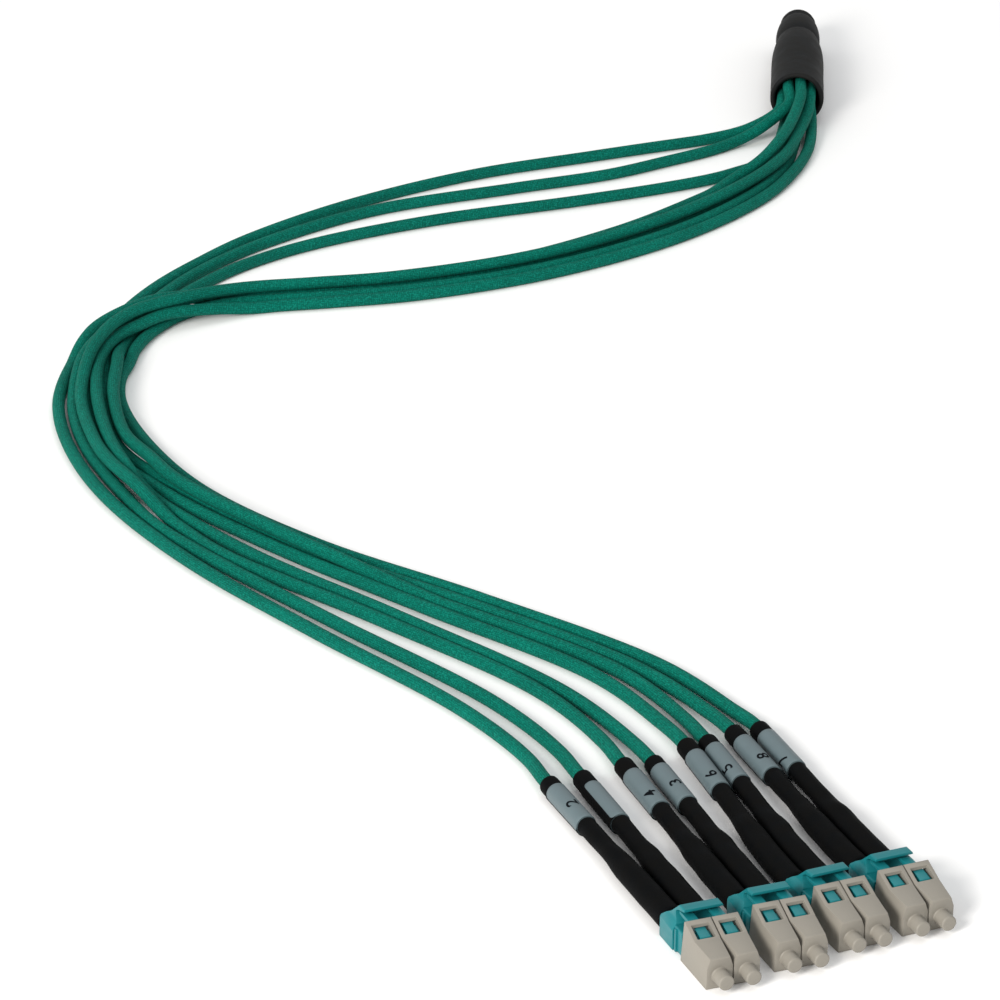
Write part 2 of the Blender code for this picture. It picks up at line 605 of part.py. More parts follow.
def clip_mesh(materials):
    """Duplex clip that holds two plugs side by side, with the plate that presses both latches."""
    half = CLIP_WIDTH / 2
    base = [(-half, 0.25), (-half + 0.25, 0.0), (half - 0.25, 0.0), (half, 0.25),
            (half, CLIP_SIDE_TOP), (half - 0.85, CLIP_TOP), (-half + 0.85, CLIP_TOP),
            (-half, CLIP_SIDE_TOP)]
    plate_half = PLATE_WIDTH / 2
    hips = [(-half, 3.0), (half, 3.0), (half, CLIP_SIDE_TOP), (plate_half + 0.5, 7.0),
            (plate_half, PLATE_TOP - 0.4), (plate_half - 0.3, PLATE_TOP), (-plate_half + 0.3, PLATE_TOP),
            (-plate_half, PLATE_TOP - 0.4), (-plate_half - 0.5, 7.0), (-half, CLIP_SIDE_TOP)]
    above = PLATE_TOP + 1.4
    back = [(CLIP_REAR - 1.0, CLIP_REAR_TOP - 0.7), (CLIP_REAR, CLIP_REAR_TOP), (CLIP_REAR + 1.6, 6.5),
            (CLIP_REAR + 3.3, 7.5), (PLATE_REAR, PLATE_TOP), (PLATE_REAR, above),
            (CLIP_REAR - 1.0, above)]
    ahead = PLATE_FRONT + 0.7
    under_plate = [(ahead, 2.0), (CLIP_BASE_FRONT, 2.0), (CLIP_BASE_FRONT, CLIP_TOP + 0.1),
                   (PLATE_REAR - 1.1, 7.6), (PLATE_REAR - 1.4, 8.6), (LATCH_TAIL, PLATE_BOTTOM),
                   (PLATE_FRONT, PLATE_TOP - PLATE_THICKNESS), (ahead, PLATE_TOP - PLATE_THICKNESS + 0.1)]
    nose_half = half - NOSE_INSET
    nose = [(-nose_half, 0.3), (nose_half, 0.3), (nose_half, NOSE_TOP - 0.4), (nose_half - 0.4, NOSE_TOP),
            (-nose_half + 0.4, NOSE_TOP), (-nose_half, NOSE_TOP - 0.4)]
    rib_front = CLIP_BASE_FRONT + 1.4
    channel = HOUSING_WIDTH / 2 + GAP
    stem_bore = [(CLIP_REAR - 1.0, 0.0), (CLIP_REAR - 1.0, STEM_RADIUS + GAP),
                 (CHANNEL_REAR + 1.0, STEM_RADIUS + GAP), (CHANNEL_REAR + 1.0, 0.0)]
    steps = [
        ("UNION", cross_extrusion(hips, HIP_REAR, PLATE_FRONT)),
        ("DIFFERENCE", extrusion(back, CLIP_WIDTH)),
        ("DIFFERENCE", extrusion(under_plate, CLIP_WIDTH)),
        ("UNION", cross_extrusion(nose, CLIP_BASE_FRONT - 0.5, CLIP_FRONT)),
        ("UNION", box((rib_front - 0.7, rib_front), (-half + 0.1, half - 0.1), (0.3, NOSE_TOP - 0.35))),
    ]
    for side in (-1, 1):
        y = side * PLUG_PITCH / 2
        steps.append(("DIFFERENCE", cross_extrusion(chamfered_square(channel, HOUSING_CHAMFER, y, AXIS_Z),
                                                    CHANNEL_REAR, CLIP_FRONT + 1.0)))
        steps.append(("DIFFERENCE", lathe(stem_bore, 12, (y, AXIS_Z))))
    mesh = combined(cross_extrusion(base, CLIP_REAR, CLIP_BASE_FRONT), steps)
    return dressed(mesh, "duplex_clip", materials["aqua_plastic"])


def make_connectors(materials):
    shapes = {
        "lc_plug": plug_mesh(materials),
        "ferrule": ferrule_mesh(materials),
        "dust_cap": cap_mesh(materials),
    }
    clip = clip_mesh(materials)
    for unit, place in DUPLEX_PLACES.items():
        turn = -math.radians(DUPLEX_HEADINGS[unit])
        holder = add_object(f"unit_{unit}", None, None, (*place, 0), (0, 0, turn))
        add_object(f"duplex_clip_{unit}", clip, holder)
        for leg in DUPLEX_LEGS[unit]:
            spot = (0, plug_offset(leg)[1], AXIS_Z)
            for kind, mesh in shapes.items():
                add_object(f"{kind}_{leg}", mesh, holder, spot)


def main():
    for existing in list(bpy.data.objects):
        bpy.data.objects.remove(existing)
    materials = make_materials()
    make_boot(materials)
    for leg in sorted(ROUTES):
        make_leg(leg, materials)
        make_heatshrink(leg, materials)
        make_marker(leg, materials)
    make_connectors(materials)


main()
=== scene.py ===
"""Fan-out end of a fibre optic cable: boot, braided legs, numbered sleeves, duplex connectors."""
import math

import bmesh
import bpy
import numpy as np
from mathutils import Matrix, Vector


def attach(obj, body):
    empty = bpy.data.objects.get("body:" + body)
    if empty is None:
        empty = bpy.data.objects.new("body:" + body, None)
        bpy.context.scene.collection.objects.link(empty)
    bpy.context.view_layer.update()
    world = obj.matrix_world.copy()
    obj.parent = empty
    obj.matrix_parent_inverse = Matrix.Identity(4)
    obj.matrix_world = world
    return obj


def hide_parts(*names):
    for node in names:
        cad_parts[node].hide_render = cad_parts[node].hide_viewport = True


bl_info = {
    "name": "Fibre Optic Fan-out Cable",
    "version": (1, 0, 0),
    "blender": (4, 5, 0),
    "location": "View3D > Sidebar > Fan-out Cable",
    "description": "Builds a fibre optic fan-out cable over its CAD frame",
    "category": "Object",
}

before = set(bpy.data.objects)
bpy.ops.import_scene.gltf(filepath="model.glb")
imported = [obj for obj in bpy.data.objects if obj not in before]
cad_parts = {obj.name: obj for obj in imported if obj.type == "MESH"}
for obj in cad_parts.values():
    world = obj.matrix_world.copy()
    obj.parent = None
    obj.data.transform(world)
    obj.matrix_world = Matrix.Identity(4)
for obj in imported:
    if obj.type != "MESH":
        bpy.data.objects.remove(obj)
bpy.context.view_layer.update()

# Lengths are in millimetres, and angles in degrees unless turned into radians. The floor is at
# height 0. On a connector, X runs ahead along the plugs and is 0 at the caps' front faces.
MM = 0.001
GAP = 0.3
LEGS = range(1, 9)
FLOOR_CLEARANCE = 0.02

# Boot, from its mouth back to its small end.
BOOT_RADIUS = 8.0
BOOT_BORE_RADIUS = 6.5
BOOT_MOUTH = (33.9, 226.5)
BOOT_TURN = math.radians(3.0)
BOOT_INSERTION = 13.7
BOOT_SIDES = 64
BOOT_STATIONS = 110
FIRST_NECK = 46.6
SECOND_NECK = 62.6
LEG_RING_RADIUS = 4.3
LEG_RING_PLACES = 7
MOUTH_PLACES = {1: None, 2: 1, 3: 6, 4: 0, 5: 4, 6: 3, 7: 5, 8: 2}

# Legs and the heat-shrink tubes on their ends.
LEG_SIDES = 21
LEG_RINGS = 420
LEG_FLOOR_GAP = 0.03
COLLAR_RADIUS = 2.35
SOCKET_RADIUS = 1.72
SOCKET_DEPTH = 3.3
MARKER_LENGTH = 17.0
NECK_RADIUS = 1.8
TUBE_RADIUS = 2.2
TUBE_START_Z = 2.35
TUBE_WIDE_RADIUS = 2.95
TUBE_WIDE_LENGTH = 23.0
TUBE_LEAD = 12.0
TUBE_SIDES = 28

# Duplex connector: clip, plugs and dust caps.
PLUG_PITCH = 6.25
AXIS_Z = 3.1
HOUSING_WIDTH = 4.4
HOUSING_REAR = -23.2
HOUSING_FRONT = -4.2
HOUSING_CHAMFER = 0.5
LATCH_WIDTH = 2.4
LATCH_HEAD_WIDTH = 3.7
STEM_RADIUS = 1.4
CLIP_REAR = -25.0
CLIP_WIDTH = 12.1
CLIP_SIDE_TOP = 4.8
CLIP_TOP = 6.2
CHANNEL_REAR = -23.5
HIP_REAR = -24.0
PLATE_REAR = -18.2
PLATE_FRONT = -15.7
PLATE_TOP = 10.6
PLATE_BOTTOM = 9.3
PLATE_WIDTH = 8.9
CLIP_NOSE_INSET = 0.5
CLIP_NOSE_TOP = 6.0
CAP_WIDTH = 5.9
CAP_REAR = -13.5
CAP_KINK = -6.6
CAP_KINK_TOP = 8.1
CAP_REAR_TOP = 10.3
CAP_FRONT_TOP = 7.2
WINDOW_REAR = -10.6
WINDOW_FRONT = -6.95
WINDOW_WIDTH = 4.2
NUB_RADIUS = 1.75
NUB_LENGTH = 3.9
NUB_ROUNDING = 0.38
TUBE_END_X = CLIP_REAR - GAP

# Longer than any piece that it cuts, either way from the middle.
CUT_THROUGH = 9.0

# One entry a duplex connector: middle of the caps' front faces on the floor, the heading of the
# plugs below the +X axis, and the legs on its left and right plug.
DUPLEX_UNITS = {
    "a": ((-3.7, -288.2), 68.0, (2, 1)),
    "b": ((10.9, -280.5), 68.0, (4, 3)),
    "c": ((24.7, -271.6), 65.0, (6, 5)),
    "d": ((38.7, -264.4), 65.5, (8, 7)),
}

# Where each heat-shrink tube starts, on the floor plan.
COLLARS = {
    1: (-34.4, -200.4),
    2: (-41.8, -203.5),
    3: (-18.2, -192.8),
    4: (-25, -194),
    5: (-5.7, -182.2),
    6: (-10.6, -184.1),
    7: (6.3, -175.4),
    8: (0.4, -177.3),
}

# How much of each tube's start shows before its marker sleeve.
COLLAR_LENGTHS = {1: 5.8, 2: 4.0, 3: 4.2, 4: 5.8, 5: 4.3, 6: 6.0, 7: 4.5, 8: 5.5}

# Marker sleeves. A turn goes from straight up towards the tube's left side, for the sleeve's window
# and for its digit. A digit's distance is from the start of the tube to its middle.
SLEEVE_RADIUS = 2.45
SLEEVE_WALL = 0.45
SLEEVE_SIDES = 36
SLEEVE_TURNS = {1: 62, 2: 0, 3: 0, 4: 0, 5: 0, 6: 0, 7: 0, 8: 0}
STRIP_HALF_ANGLE = math.radians(62)
STRIP_CORNER = 1.3
STRIP_COLUMNS = 22
DIGIT_STRETCH = 1.35
DIGIT_STANDOFF = 0.045
DIGIT_WEIGHT = 0.06
DIGIT_FACET = 0.3
CAPITAL_HEIGHT = 0.72
DIGIT_TURNS = {1: 118, 2: -14, 3: -10, 4: -22, 5: -46, 6: -22, 7: -62, 8: -2}
DIGIT_DISTANCES = {1: 14.0, 2: 14.0, 3: 14.2, 4: 18.5, 5: 16.5, 6: 18.6, 7: 18.2, 8: 17.0}

# Each leg's way from the boot to its collar. A point with no height lies on the floor.
ROUTES = {
    1: [
        (32.5, 219.5, 6), (29.5, 203.5, 4.5), (24.5, 185, 2.2), (10.5, 160.5), (-15, 133),
        (-51, 106.5), (-86.5, 92.5), (-109.5, 86.5), (-128, 80.5, 4.1), (-143.5, 68.5, 5.3),
        (-156.4, 53.4, 5.2), (-163.7, 34, 5.3), (-165.2, 9.5), (-160, -18.5), (-147.5, -49.5),
        (-138.5, -67), (-125, -84.5), (-92, -121), (-55, -161), (-40, -185),
    ],
    2: [
        (34.5, 219, 11.5), (31, 204, 9), (26, 189.3, 7.5), (20.8, 180, 5.7), (13, 172.3, 3.1),
        (5, 162), (-21, 134), (-56.5, 108), (-93, 95), (-116, 89), (-134, 81), (-141.5, 75.5, 4.5),
        (-149.3, 69, 5.6), (-161, 53.5, 5.6), (-165, 44, 4.5), (-167.5, 33.5), (-169, 9),
        (-164, -19), (-152, -50.5), (-130, -86), (-98.5, -124), (-62.5, -164.5), (-47, -189),
    ],
    3: [
        (38, 219.5, 3.5), (36.5, 203), (31.7, 184.5), (21, 161), (-4.5, 129.5), (-41, 101.8),
        (-76.5, 85.5), (-100, 79.5), (-119.5, 75), (-134, 67.8, 4), (-144.3, 61.2, 5.2),
        (-150.8, 53.6, 5.2), (-156.5, 44.5, 5.4), (-159.4, 32, 5.2), (-159, 9, 5.2),
        (-154, -19.5, 5.2), (-149, -35, 5), (-140.5, -50.5, 2), (-114, -83), (-78, -116.5),
        (-39, -155), (-23.5, -179.5),
    ],
    4: [
        (37, 219, 7.5), (33, 203, 5.4), (28, 185, 5.4), (13.8, 160.5, 5.2), (-12, 132.5, 4.7),
        (-47.5, 105.5, 5), (-83, 91, 4.7), (-106, 85, 5), (-124.5, 78.5, 6), (-140, 66.5, 8),
        (-153.5, 52.5, 9), (-161, 33, 8.5), (-163, 8.5, 5), (-158, -19.5, 5.2), (-153, -34.5, 5.4),
        (-144.5, -50.5, 5.4), (-133.5, -66.5), (-120.5, -84), (-83.5, -117), (-44.5, -155),
        (-30, -179.5),
    ],
    5: [
        (30, 219.5, 2.5), (27, 203), (21, 188), (13.9, 181.2), (6.7, 175.8), (-8, 168), (-33, 157),
        (-74.5, 140.5), (-107.5, 121.5), (-125.5, 105.5), (-137, 90), (-146.3, 73), (-152.2, 58),
        (-154.7, 47), (-155.3, 37, 3.6), (-155, 28.5, 5), (-154.6, 8.5, 4.6), (-149.5, -18, 4.6),
        (-142.5, -32, 5), (-134, -47.5, 5.2), (-105.5, -78.5, 5), (-87.5, -94, 3.8),
        (-67.5, -109.5), (-26, -144), (-11, -168),
    ],
    6: [
        (28, 220.3, 6.2), (18.8, 214.2, 2.9), (5, 207.6), (-10.4, 201), (-28.5, 193), (-62, 177.5),
        (-98, 152), (-125, 125), (-138.5, 106), (-148.5, 89), (-156, 71), (-161, 53), (-162.4, 36),
        (-161, 7), (-155, -20.5), (-136.5, -48.5), (-108.5, -78.5), (-72, -111), (-31.5, -146.5),
        (-16.5, -170),
    ],
    7: [
        (34, 219.5), (32, 203), (28.2, 185), (16, 160.3), (-8.5, 131), (-45, 104), (-80, 88.5),
        (-103, 83), (-122.5, 79.5), (-134.5, 74.4), (-141.5, 68.2), (-147.6, 57.5), (-151.2, 46),
        (-152.4, 35.5), (-153.9, 25.5), (-152.6, 8.5), (-143.5, -18.5), (-127, -47.5),
        (-97.5, -77.5), (-58, -106.5), (-16, -141), (0.5, -164),
    ],
    8: [
        (31.2, 219.5, 9.4), (24, 211.5, 5.4), (17.3, 207.5, 2.6), (7.1, 199), (-5.7, 190),
        (-23, 178.7), (-50, 167), (-90, 148.5), (-119, 124), (-134, 105.5), (-144, 88.5),
        (-151.5, 70.5), (-157.3, 53), (-158.8, 38), (-157.8, 20), (-157, 6.5), (-150.5, -21),
        (-131.5, -48), (-103, -78), (-63.5, -107.5), (-22, -142), (-5.5, -164.5),
    ],
}


def length_property(name, description, default):
    return bpy.props.FloatProperty(
        name=name, description=description, default=default, subtype="DISTANCE", unit="LENGTH"
    )


def colour_property(name, description, default):
    return bpy.props.FloatVectorProperty(
        name=name, description=description, default=default, subtype="COLOR", min=0, max=1
    )


class CableSizes(bpy.types.PropertyGroup):
    """Sizes of the cable that a user may change."""

    leg_diameter: length_property("Leg diameter", "Diameter of one braided leg", 0.0033)
    yarn_width: length_property("Yarn width", "Width of one bundle of yarn in the braid", 0.00052)
    braid_pitch: length_property("Braid pitch", "Length in which a yarn goes once round", 0.0105)
    digit_height: length_property("Digit height", "Height of the digits on the sleeves", 0.0028)


class CableColours(bpy.types.PropertyGroup):
    """Base colours of the cable's finishes."""

    braid: colour_property("Braid", "Yarn of the legs", (0.0, 0.160, 0.114))
    boot: colour_property("Boot", "Heat-shrink of the boot", (0.0068, 0.0078, 0.0086))
    tube: colour_property("Tube", "Heat-shrink over each leg's end", (0.0028, 0.0032, 0.0036))
    sleeve: colour_property("Sleeve", "Numbered marker sleeves", (0.092, 0.128, 0.140))
    aqua: colour_property("Aqua plastic", "Plugs and duplex clips", (0.006, 0.146, 0.163))
    cap: colour_property("Cap plastic", "Dust caps", (0.226, 0.210, 0.180))
    ferrule: colour_property("Ferrule", "Ceramic ferrules", (0.520, 0.512, 0.490))
    ink: colour_property("Ink", "Digits on the sleeves", (0.004, 0.005, 0.007))


class StudioSettings(bpy.types.PropertyGroup):
    """Camera and light."""

    pitch: bpy.props.FloatProperty(
        name="Camera pitch", description="How far the camera looks down",
        default=math.radians(24.62), subtype="ANGLE",
    )
    roll: bpy.props.FloatProperty(
        name="Camera roll", description="Turn of the camera about its own axis",
        default=math.radians(0.597), subtype="ANGLE",
    )
    camera_place: bpy.props.FloatVectorProperty(
        name="Camera place", description="Where the camera stands",
        default=(-0.0535, -1.2379, 0.5464), subtype="TRANSLATION", unit="LENGTH",
    )
    focal_length: bpy.props.FloatProperty(
        name="Focal length", description="Lens, for a sensor 36 mm wide", default=187.59,
    )
    key_power: bpy.props.FloatProperty(
        name="Key light", description="Power of the large light", default=36.0, subtype="POWER",
    )
    sky: bpy.props.FloatProperty(
        name="Sky", description="Strength of the white surroundings", default=0.68,
    )


def settings():
    """The sizes, the colours and the studio's settings."""
    scene = bpy.context.scene
    return scene.cable_sizes, scene.cable_colours, scene.cable_studio


def mm(values):
    """A point in millimetres as one in metres."""
    return Vector(values) * MM


# Paths


def smooth_path(points, count):
    """Evenly spaced points on the smooth curve through the given ones."""
    knots_and_glints = np.array(points, dtype=float)
    steps = np.sqrt(np.linalg.norm(np.diff(knots_and_glints, axis=0), axis=1))
    slopes = np.zeros_like(knots_and_glints)
    slopes[0] = (knots_and_glints[1] - knots_and_glints[0]) / steps[0]
    slopes[-1] = (knots_and_glints[-1] - knots_and_glints[-2]) / steps[-1]
    for i in range(1, len(knots_and_glints) - 1):
        before = (knots_and_glints[i] - knots_and_glints[i - 1]) / steps[i - 1]
        after = (knots_and_glints[i + 1] - knots_and_glints[i]) / steps[i]
        slopes[i] = (before * steps[i] + after * steps[i - 1]) / (steps[i] + steps[i - 1])
    fine = []
    for i, step in enumerate(steps):
        for t in np.linspace(0, 1, 40, endpoint=False):
            fine.append(
                (2 * t**3 - 3 * t**2 + 1) * knots_and_glints[i]
                + (t**3 - 2 * t**2 + t) * step * slopes[i]
                + (3 * t**2 - 2 * t**3) * knots_and_glints[i + 1]
                + (t**3 - t**2) * step * slopes[i + 1]
            )
    fine.append(knots_and_glints[-1])
    fine = np.array(fine)
    travelled = np.concatenate([[0.0], np.cumsum(np.linalg.norm(np.diff(fine, axis=0), axis=1))])
    wanted = np.linspace(0, travelled[-1], count)
    return np.stack([np.interp(wanted, travelled, fine[:, k]) for k in range(3)], axis=1)


def mouth_points(leg):
    """Where a leg runs inside the boot, from its end to the mouth: one leg in the middle of a ring."""
    way = np.array([math.sin(BOOT_TURN), math.cos(BOOT_TURN)])
    across = np.array([way[1], -way[0]])
    place = MOUTH_PLACES[leg]
    side, height = 0.0, BOOT_RADIUS
    if place is not None:
        angle = math.tau * (place + 0.5) / LEG_RING_PLACES
        side = LEG_RING_RADIUS * math.cos(angle)
        height += LEG_RING_RADIUS * math.sin(angle)
    points = []
    for depth in (BOOT_INSERTION, BOOT_INSERTION / 2, 0.5):
        plan = np.array(BOOT_MOUTH) + way * depth + across * side
        points.append((plan[0], plan[1], height))
    return points


def unit_matrix(unit):
    """From a duplex connector's own axes (X ahead, Y to its left) to the floor, in millimetres."""
    (x, y), heading, _ = DUPLEX_UNITS[unit]
    return Matrix.Translation((x, y, 0)) @ Matrix.Rotation(-math.radians(heading), 4, "Z")


def plug_matrix(leg):
    """From a plug's own axes, with X along its middle, to the floor, in millimetres."""
    for unit, (_, _, legs) in DUPLEX_UNITS.items():
        if leg in legs:
            y = (legs.index(leg) - 0.5) * PLUG_PITCH
            return unit_matrix(unit) @ Matrix.Translation((0, y, AXIS_Z))
    raise ValueError(f"leg {leg} has no plug")


def tube_line(leg):
    """Start, last straight stretch and end of a leg's heat-shrink tube."""
    at_plug = plug_matrix(leg)
    end = at_plug @ Vector((TUBE_END_X, 0, 0))
    lead = at_plug @ Vector((TUBE_END_X - TUBE_LEAD, 0, 0))
    return Vector((*COLLARS[leg], TUBE_START_Z)), lead, end


def tube_place(leg, distance):
    """Point on a heat-shrink tube's centreline, a straight run that eases into the plug's axis."""
    start, lead, end = tube_line(leg)
    run = (end - start).length
    t = distance / run
    straight = start.lerp(end, t)
    bend = lead - start.lerp(end, 1 - (end - lead).length / run)
    ease = 4 * (t ** 3) * (1 - t) * 1.3 if 0 < t < 1 else 0.0
    return straight + Vector((bend.x, bend.y, 0)) * ease


def tube_axes(leg, distance):
    """Centre of a heat-shrink tube at a distance, with its way, its right side and its top."""
    way = (tube_place(leg, distance + 0.5) - tube_place(leg, distance - 0.5)).normalized()
    across = way.cross(Vector((0, 0, 1))).normalized()
    return tube_place(leg, distance), way, across, across.cross(way)


def leg_path(leg, count):
    """A leg's middle line from inside the boot to its tube's socket, in metres."""
    rest = bpy.context.scene.cable_sizes.leg_diameter / MM / 2 + LEG_FLOOR_GAP
    route = mouth_points(leg)
    for point in ROUTES[leg]:
        route.append((*point[:2], point[2] if len(point) == 3 else rest))
    route.append(tuple(tube_place(leg, -3.0)))
    route.append(tuple(tube_place(leg, SOCKET_DEPTH - GAP)))
    path = smooth_path(route, count)
    path[:, 2] = np.maximum(path[:, 2], rest)
    return path * MM


# Materials


class Nodes:
    """Short names for building a material's node tree."""

    def __init__(self, name, colour):
        self.material = bpy.data.materials.new(name)
        self.material.use_nodes = True
        self.tree = self.material.node_tree
        self.shader = self.tree.nodes["Principled BSDF"]
        self.material.diffuse_color = (*colour, 1.0)

    def add(self, kind, **inputs):
        node = self.tree.nodes.new(kind)
        for name, value in inputs.items():
            self.put(node, name.replace("_", " "), value)
        return node

    def put(self, node, name, value):
        socket = node.inputs[int(name)] if name.isdigit() else node.inputs[name]
        if isinstance(value, bpy.types.NodeSocket):
            self.tree.links.new(value, socket)
        else:
            socket.default_value = value

    def maths(self, operation, first, second=0.0):
        node = self.tree.nodes.new("ShaderNodeMath")
        node.operation = operation
        self.put(node, "0", first)
        self.put(node, "1", second)
        return node.outputs[0]

    def ramp(self, value, low, high, to_low, to_high):
        """A value carried from one range to another, and held at its ends."""
        node = self.add("ShaderNodeMapRange", Value=value)
        for name, number in (("From Min", low), ("From Max", high), ("To Min", to_low),
                             ("To Max", to_high)):
            node.inputs[name].default_value = number
        return node.outputs["Result"]

    def mix(self, factor, first, second):
        """The first colour, with the second over it by a factor."""
        node = self.tree.nodes.new("ShaderNodeMix")
        node.data_type = "RGBA"
        for index, value in ((0, factor), (6, first), (7, second)):
            socket = node.inputs[index]
            if isinstance(value, bpy.types.NodeSocket):
                self.tree.links.new(value, socket)
            else:
                socket.default_value = (*value, 1.0) if isinstance(value, tuple) else value
        return node.outputs[2]

    def place(self, scale=(1, 1, 1)):
        """Object coordinates, stretched by a scale on each axis."""
        coordinates = self.tree.nodes.new("ShaderNodeTexCoord")
        mapping = self.tree.nodes.new("ShaderNodeMapping")
        mapping.inputs["Scale"].default_value = scale
        self.tree.links.new(coordinates.outputs["Object"], mapping.inputs["Vector"])
        return mapping.outputs["Vector"]

    def noise(self, vector, scale, detail=3.0, roughness=0.5):
        node = self.add("ShaderNodeTexNoise", Vector=vector, Scale=scale, Detail=detail,
                        Roughness=roughness)
        return node.outputs["Fac"]

    def bump(self, height, strength, distance, under=None):
        node = self.add("ShaderNodeBump", Height=height, Strength=strength, Distance=distance)
        if under is not None:
            self.tree.links.new(under, node.inputs["Normal"])
        return node.outputs["Normal"]

    def surface(self, **values):
        for name, value in values.items():
            self.put(self.shader, name.replace("_", " "), value)
        return self.material


def shade(colour, factor):
    return tuple(min(1.0, c * factor) for c in colour)


def braid_material():
    """Fine braid: yarns that wind both ways round the leg and pass over and under each other, with
    painted shade between the yarns and painted highlights on their crowns and on scattered glints.
    """
    sizes, colours, _ = settings()
    colour = tuple(colours.braid)
    n = Nodes("braided_yarn", colour)
    uv = n.tree.nodes.new("ShaderNodeUVMap")
    uv.uv_map = "along_around"
    split = n.add("ShaderNodeSeparateXYZ", Vector=uv.outputs["UV"])
    along, around = split.outputs["X"], split.outputs["Y"]
    count = round(math.pi * sizes.leg_diameter / sizes.yarn_width / 2) * 2
    turns = n.maths("DIVIDE", along, sizes.braid_pitch)
    left = n.maths("MULTIPLY", n.maths("ADD", around, turns), float(count))
    right = n.maths("MULTIPLY", n.maths("SUBTRACT", around, turns), float(count))
    heights = []
    for strand, other in ((left, right), (right, left)):
        crown = n.maths("ABSOLUTE", n.maths("SINE", n.maths("MULTIPLY", strand, math.pi)))
        crown = n.maths("POWER", crown, 0.6)
        crossing = n.maths("ADD", n.maths("FLOOR", strand), other)
        over = n.maths("SINE", n.maths("MULTIPLY", crossing, math.pi))
        heights.append(n.maths("MULTIPLY", crown, n.ramp(over, -1, 1, 0.35, 1.0)))
    weave = n.maths("MAXIMUM", heights[0], heights[1])
    fibres = n.noise(n.place(), 5200.0, 2.0)
    knots_and_glints = n.noise(n.place(), 2300.0, 1.0)
    wide = n.noise(n.place(), 55.0, 3.0)
    # Painted shade in the hollows between the yarns and painted highlight on the yarns' crowns, both
    # following the weave's height.
    tone = n.mix(n.ramp(weave, 0.25, 0.95, 0.0, 1.0), shade(colour, 0.28), shade(colour, 1.22))
    tone = n.mix(n.ramp(wide, 0.3, 0.75, 0.0, 0.35), tone, shade(colour, 1.35))
    tone = n.mix(n.ramp(fibres, 0.35, 0.7, 0.0, 0.30), tone, shade(colour, 0.6))
    tone = n.mix(n.ramp(knots_and_glints, 0.36, 0.54, 0.50, 0.0), tone, shade(colour, 0.30))
    # Painted highlight: bright glints on the yarn wherever the granular noise is high. Its low end
    # gives dark specks in the yarn's texture.
    painted_yarn_highlight = (0.012, 0.26, 0.20)
    tone = n.mix(n.ramp(knots_and_glints, 0.54, 0.72, 0.0, 0.40), tone, painted_yarn_highlight)
    relief = n.bump(weave, 0.8, 0.00018)
    relief = n.bump(knots_and_glints, 0.35, 0.0001, relief)
    relief = n.bump(fibres, 0.25, 0.00003, relief)
    return n.surface(
        Base_Color=tone, Roughness=0.72, Normal=relief, Sheen_Weight=0.03, Sheen_Roughness=0.5,
        Sheen_Tint=(0.25, 0.75, 0.62, 1.0), Specular_IOR_Level=0.06,
    )


def shrink_material(name, colour, roughness, warm, gloss):
    """Heat-shrink: dull black with soft cloudy sheen and faint lengthwise drag marks."""
    n = Nodes(name, colour)
    cloud = n.noise(n.place(), 240.0, 4.0)
    fine = n.noise(n.place(), 2600.0, 3.0)
    tone = n.mix(n.ramp(cloud, 0.35, 0.7, 0.0, 0.6), colour, warm)
    relief = n.bump(cloud, 0.2, 0.0004)
    relief = n.bump(fine, 0.18, 0.00006, relief)
    dullness = n.ramp(cloud, 0.3, 0.7, roughness - 0.06, roughness + 0.08)
    return n.surface(Base_Color=tone, Roughness=dullness, Normal=relief, Specular_IOR_Level=gloss)


def moulded_material(name, colour, roughness, edge, tint):
    """Moulded plastic with a faint flow pattern and fine spark-eroded texture."""
    n = Nodes(name, colour)
    flow = n.noise(n.place((1, 1, 2)), 160.0, 3.0)
    grain = n.noise(n.place(), 7000.0, 2.0)
    tone = n.mix(n.ramp(flow, 0.3, 0.75, 0.0, edge), colour, shade(colour, tint))
    relief = n.bump(grain, 0.10, 0.00004)
    relief = n.bump(flow, 0.08, 0.0003, relief)
    return n.surface(Base_Color=tone, Normal=relief, Specular_IOR_Level=0.3,
                     Roughness=n.ramp(flow, 0.3, 0.7, roughness - 0.05, roughness + 0.07))


def sleeve_material():
    """Smooth marker sleeve with the dull patches that handling leaves."""
    _, colours, _ = settings()
    colour = tuple(colours.sleeve)
    n = Nodes("marker_sleeve_grey", colour)
    patch = n.noise(n.place(), 420.0, 4.0)
    fine = n.noise(n.place(), 5200.0, 2.0)
    tone = n.mix(n.ramp(patch, 0.35, 0.75, 0.0, 0.5), colour, shade(colour, 1.16))
    return n.surface(Base_Color=tone, Roughness=n.ramp(patch, 0.3, 0.7, 0.40, 0.54),
                     Normal=n.bump(fine, 0.12, 0.00004), Specular_IOR_Level=0.4)


def ceramic_material():
    """Polished zirconia."""
    _, colours, _ = settings()
    n = Nodes("ferrule_ceramic", tuple(colours.ferrule))
    fine = n.noise(n.place(), 9000.0, 2.0)
    return n.surface(Base_Color=(*colours.ferrule, 1.0), Roughness=0.18, Coat_Weight=0.3,
                     Normal=n.bump(fine, 0.05, 0.00002))


def ink_material():
    """Flat black print, slightly worn."""
    _, colours, _ = settings()
    n = Nodes("printed_ink", tuple(colours.ink))
    worn = n.noise(n.place(), 4000.0, 3.0)
    tone = n.mix(n.ramp(worn, 0.45, 0.8, 0.0, 0.5), tuple(colours.ink), (0.010, 0.011, 0.012))
    return n.surface(Base_Color=tone, Roughness=0.8, Specular_IOR_Level=0.03)


def floor_material():
    """Matt white paper with hardly any pattern."""
    n = Nodes("pale_floor", (0.9, 0.9, 0.9))
    wide = n.noise(n.place(), 3.0, 2.0)
    tone = n.mix(n.ramp(wide, 0.3, 0.7, 0.0, 1.0), (0.960, 0.960, 0.960), (0.970, 0.970, 0.970))
    return n.surface(Base_Color=tone, Roughness=0.9, Specular_IOR_Level=0.1)


FINISHES = {}


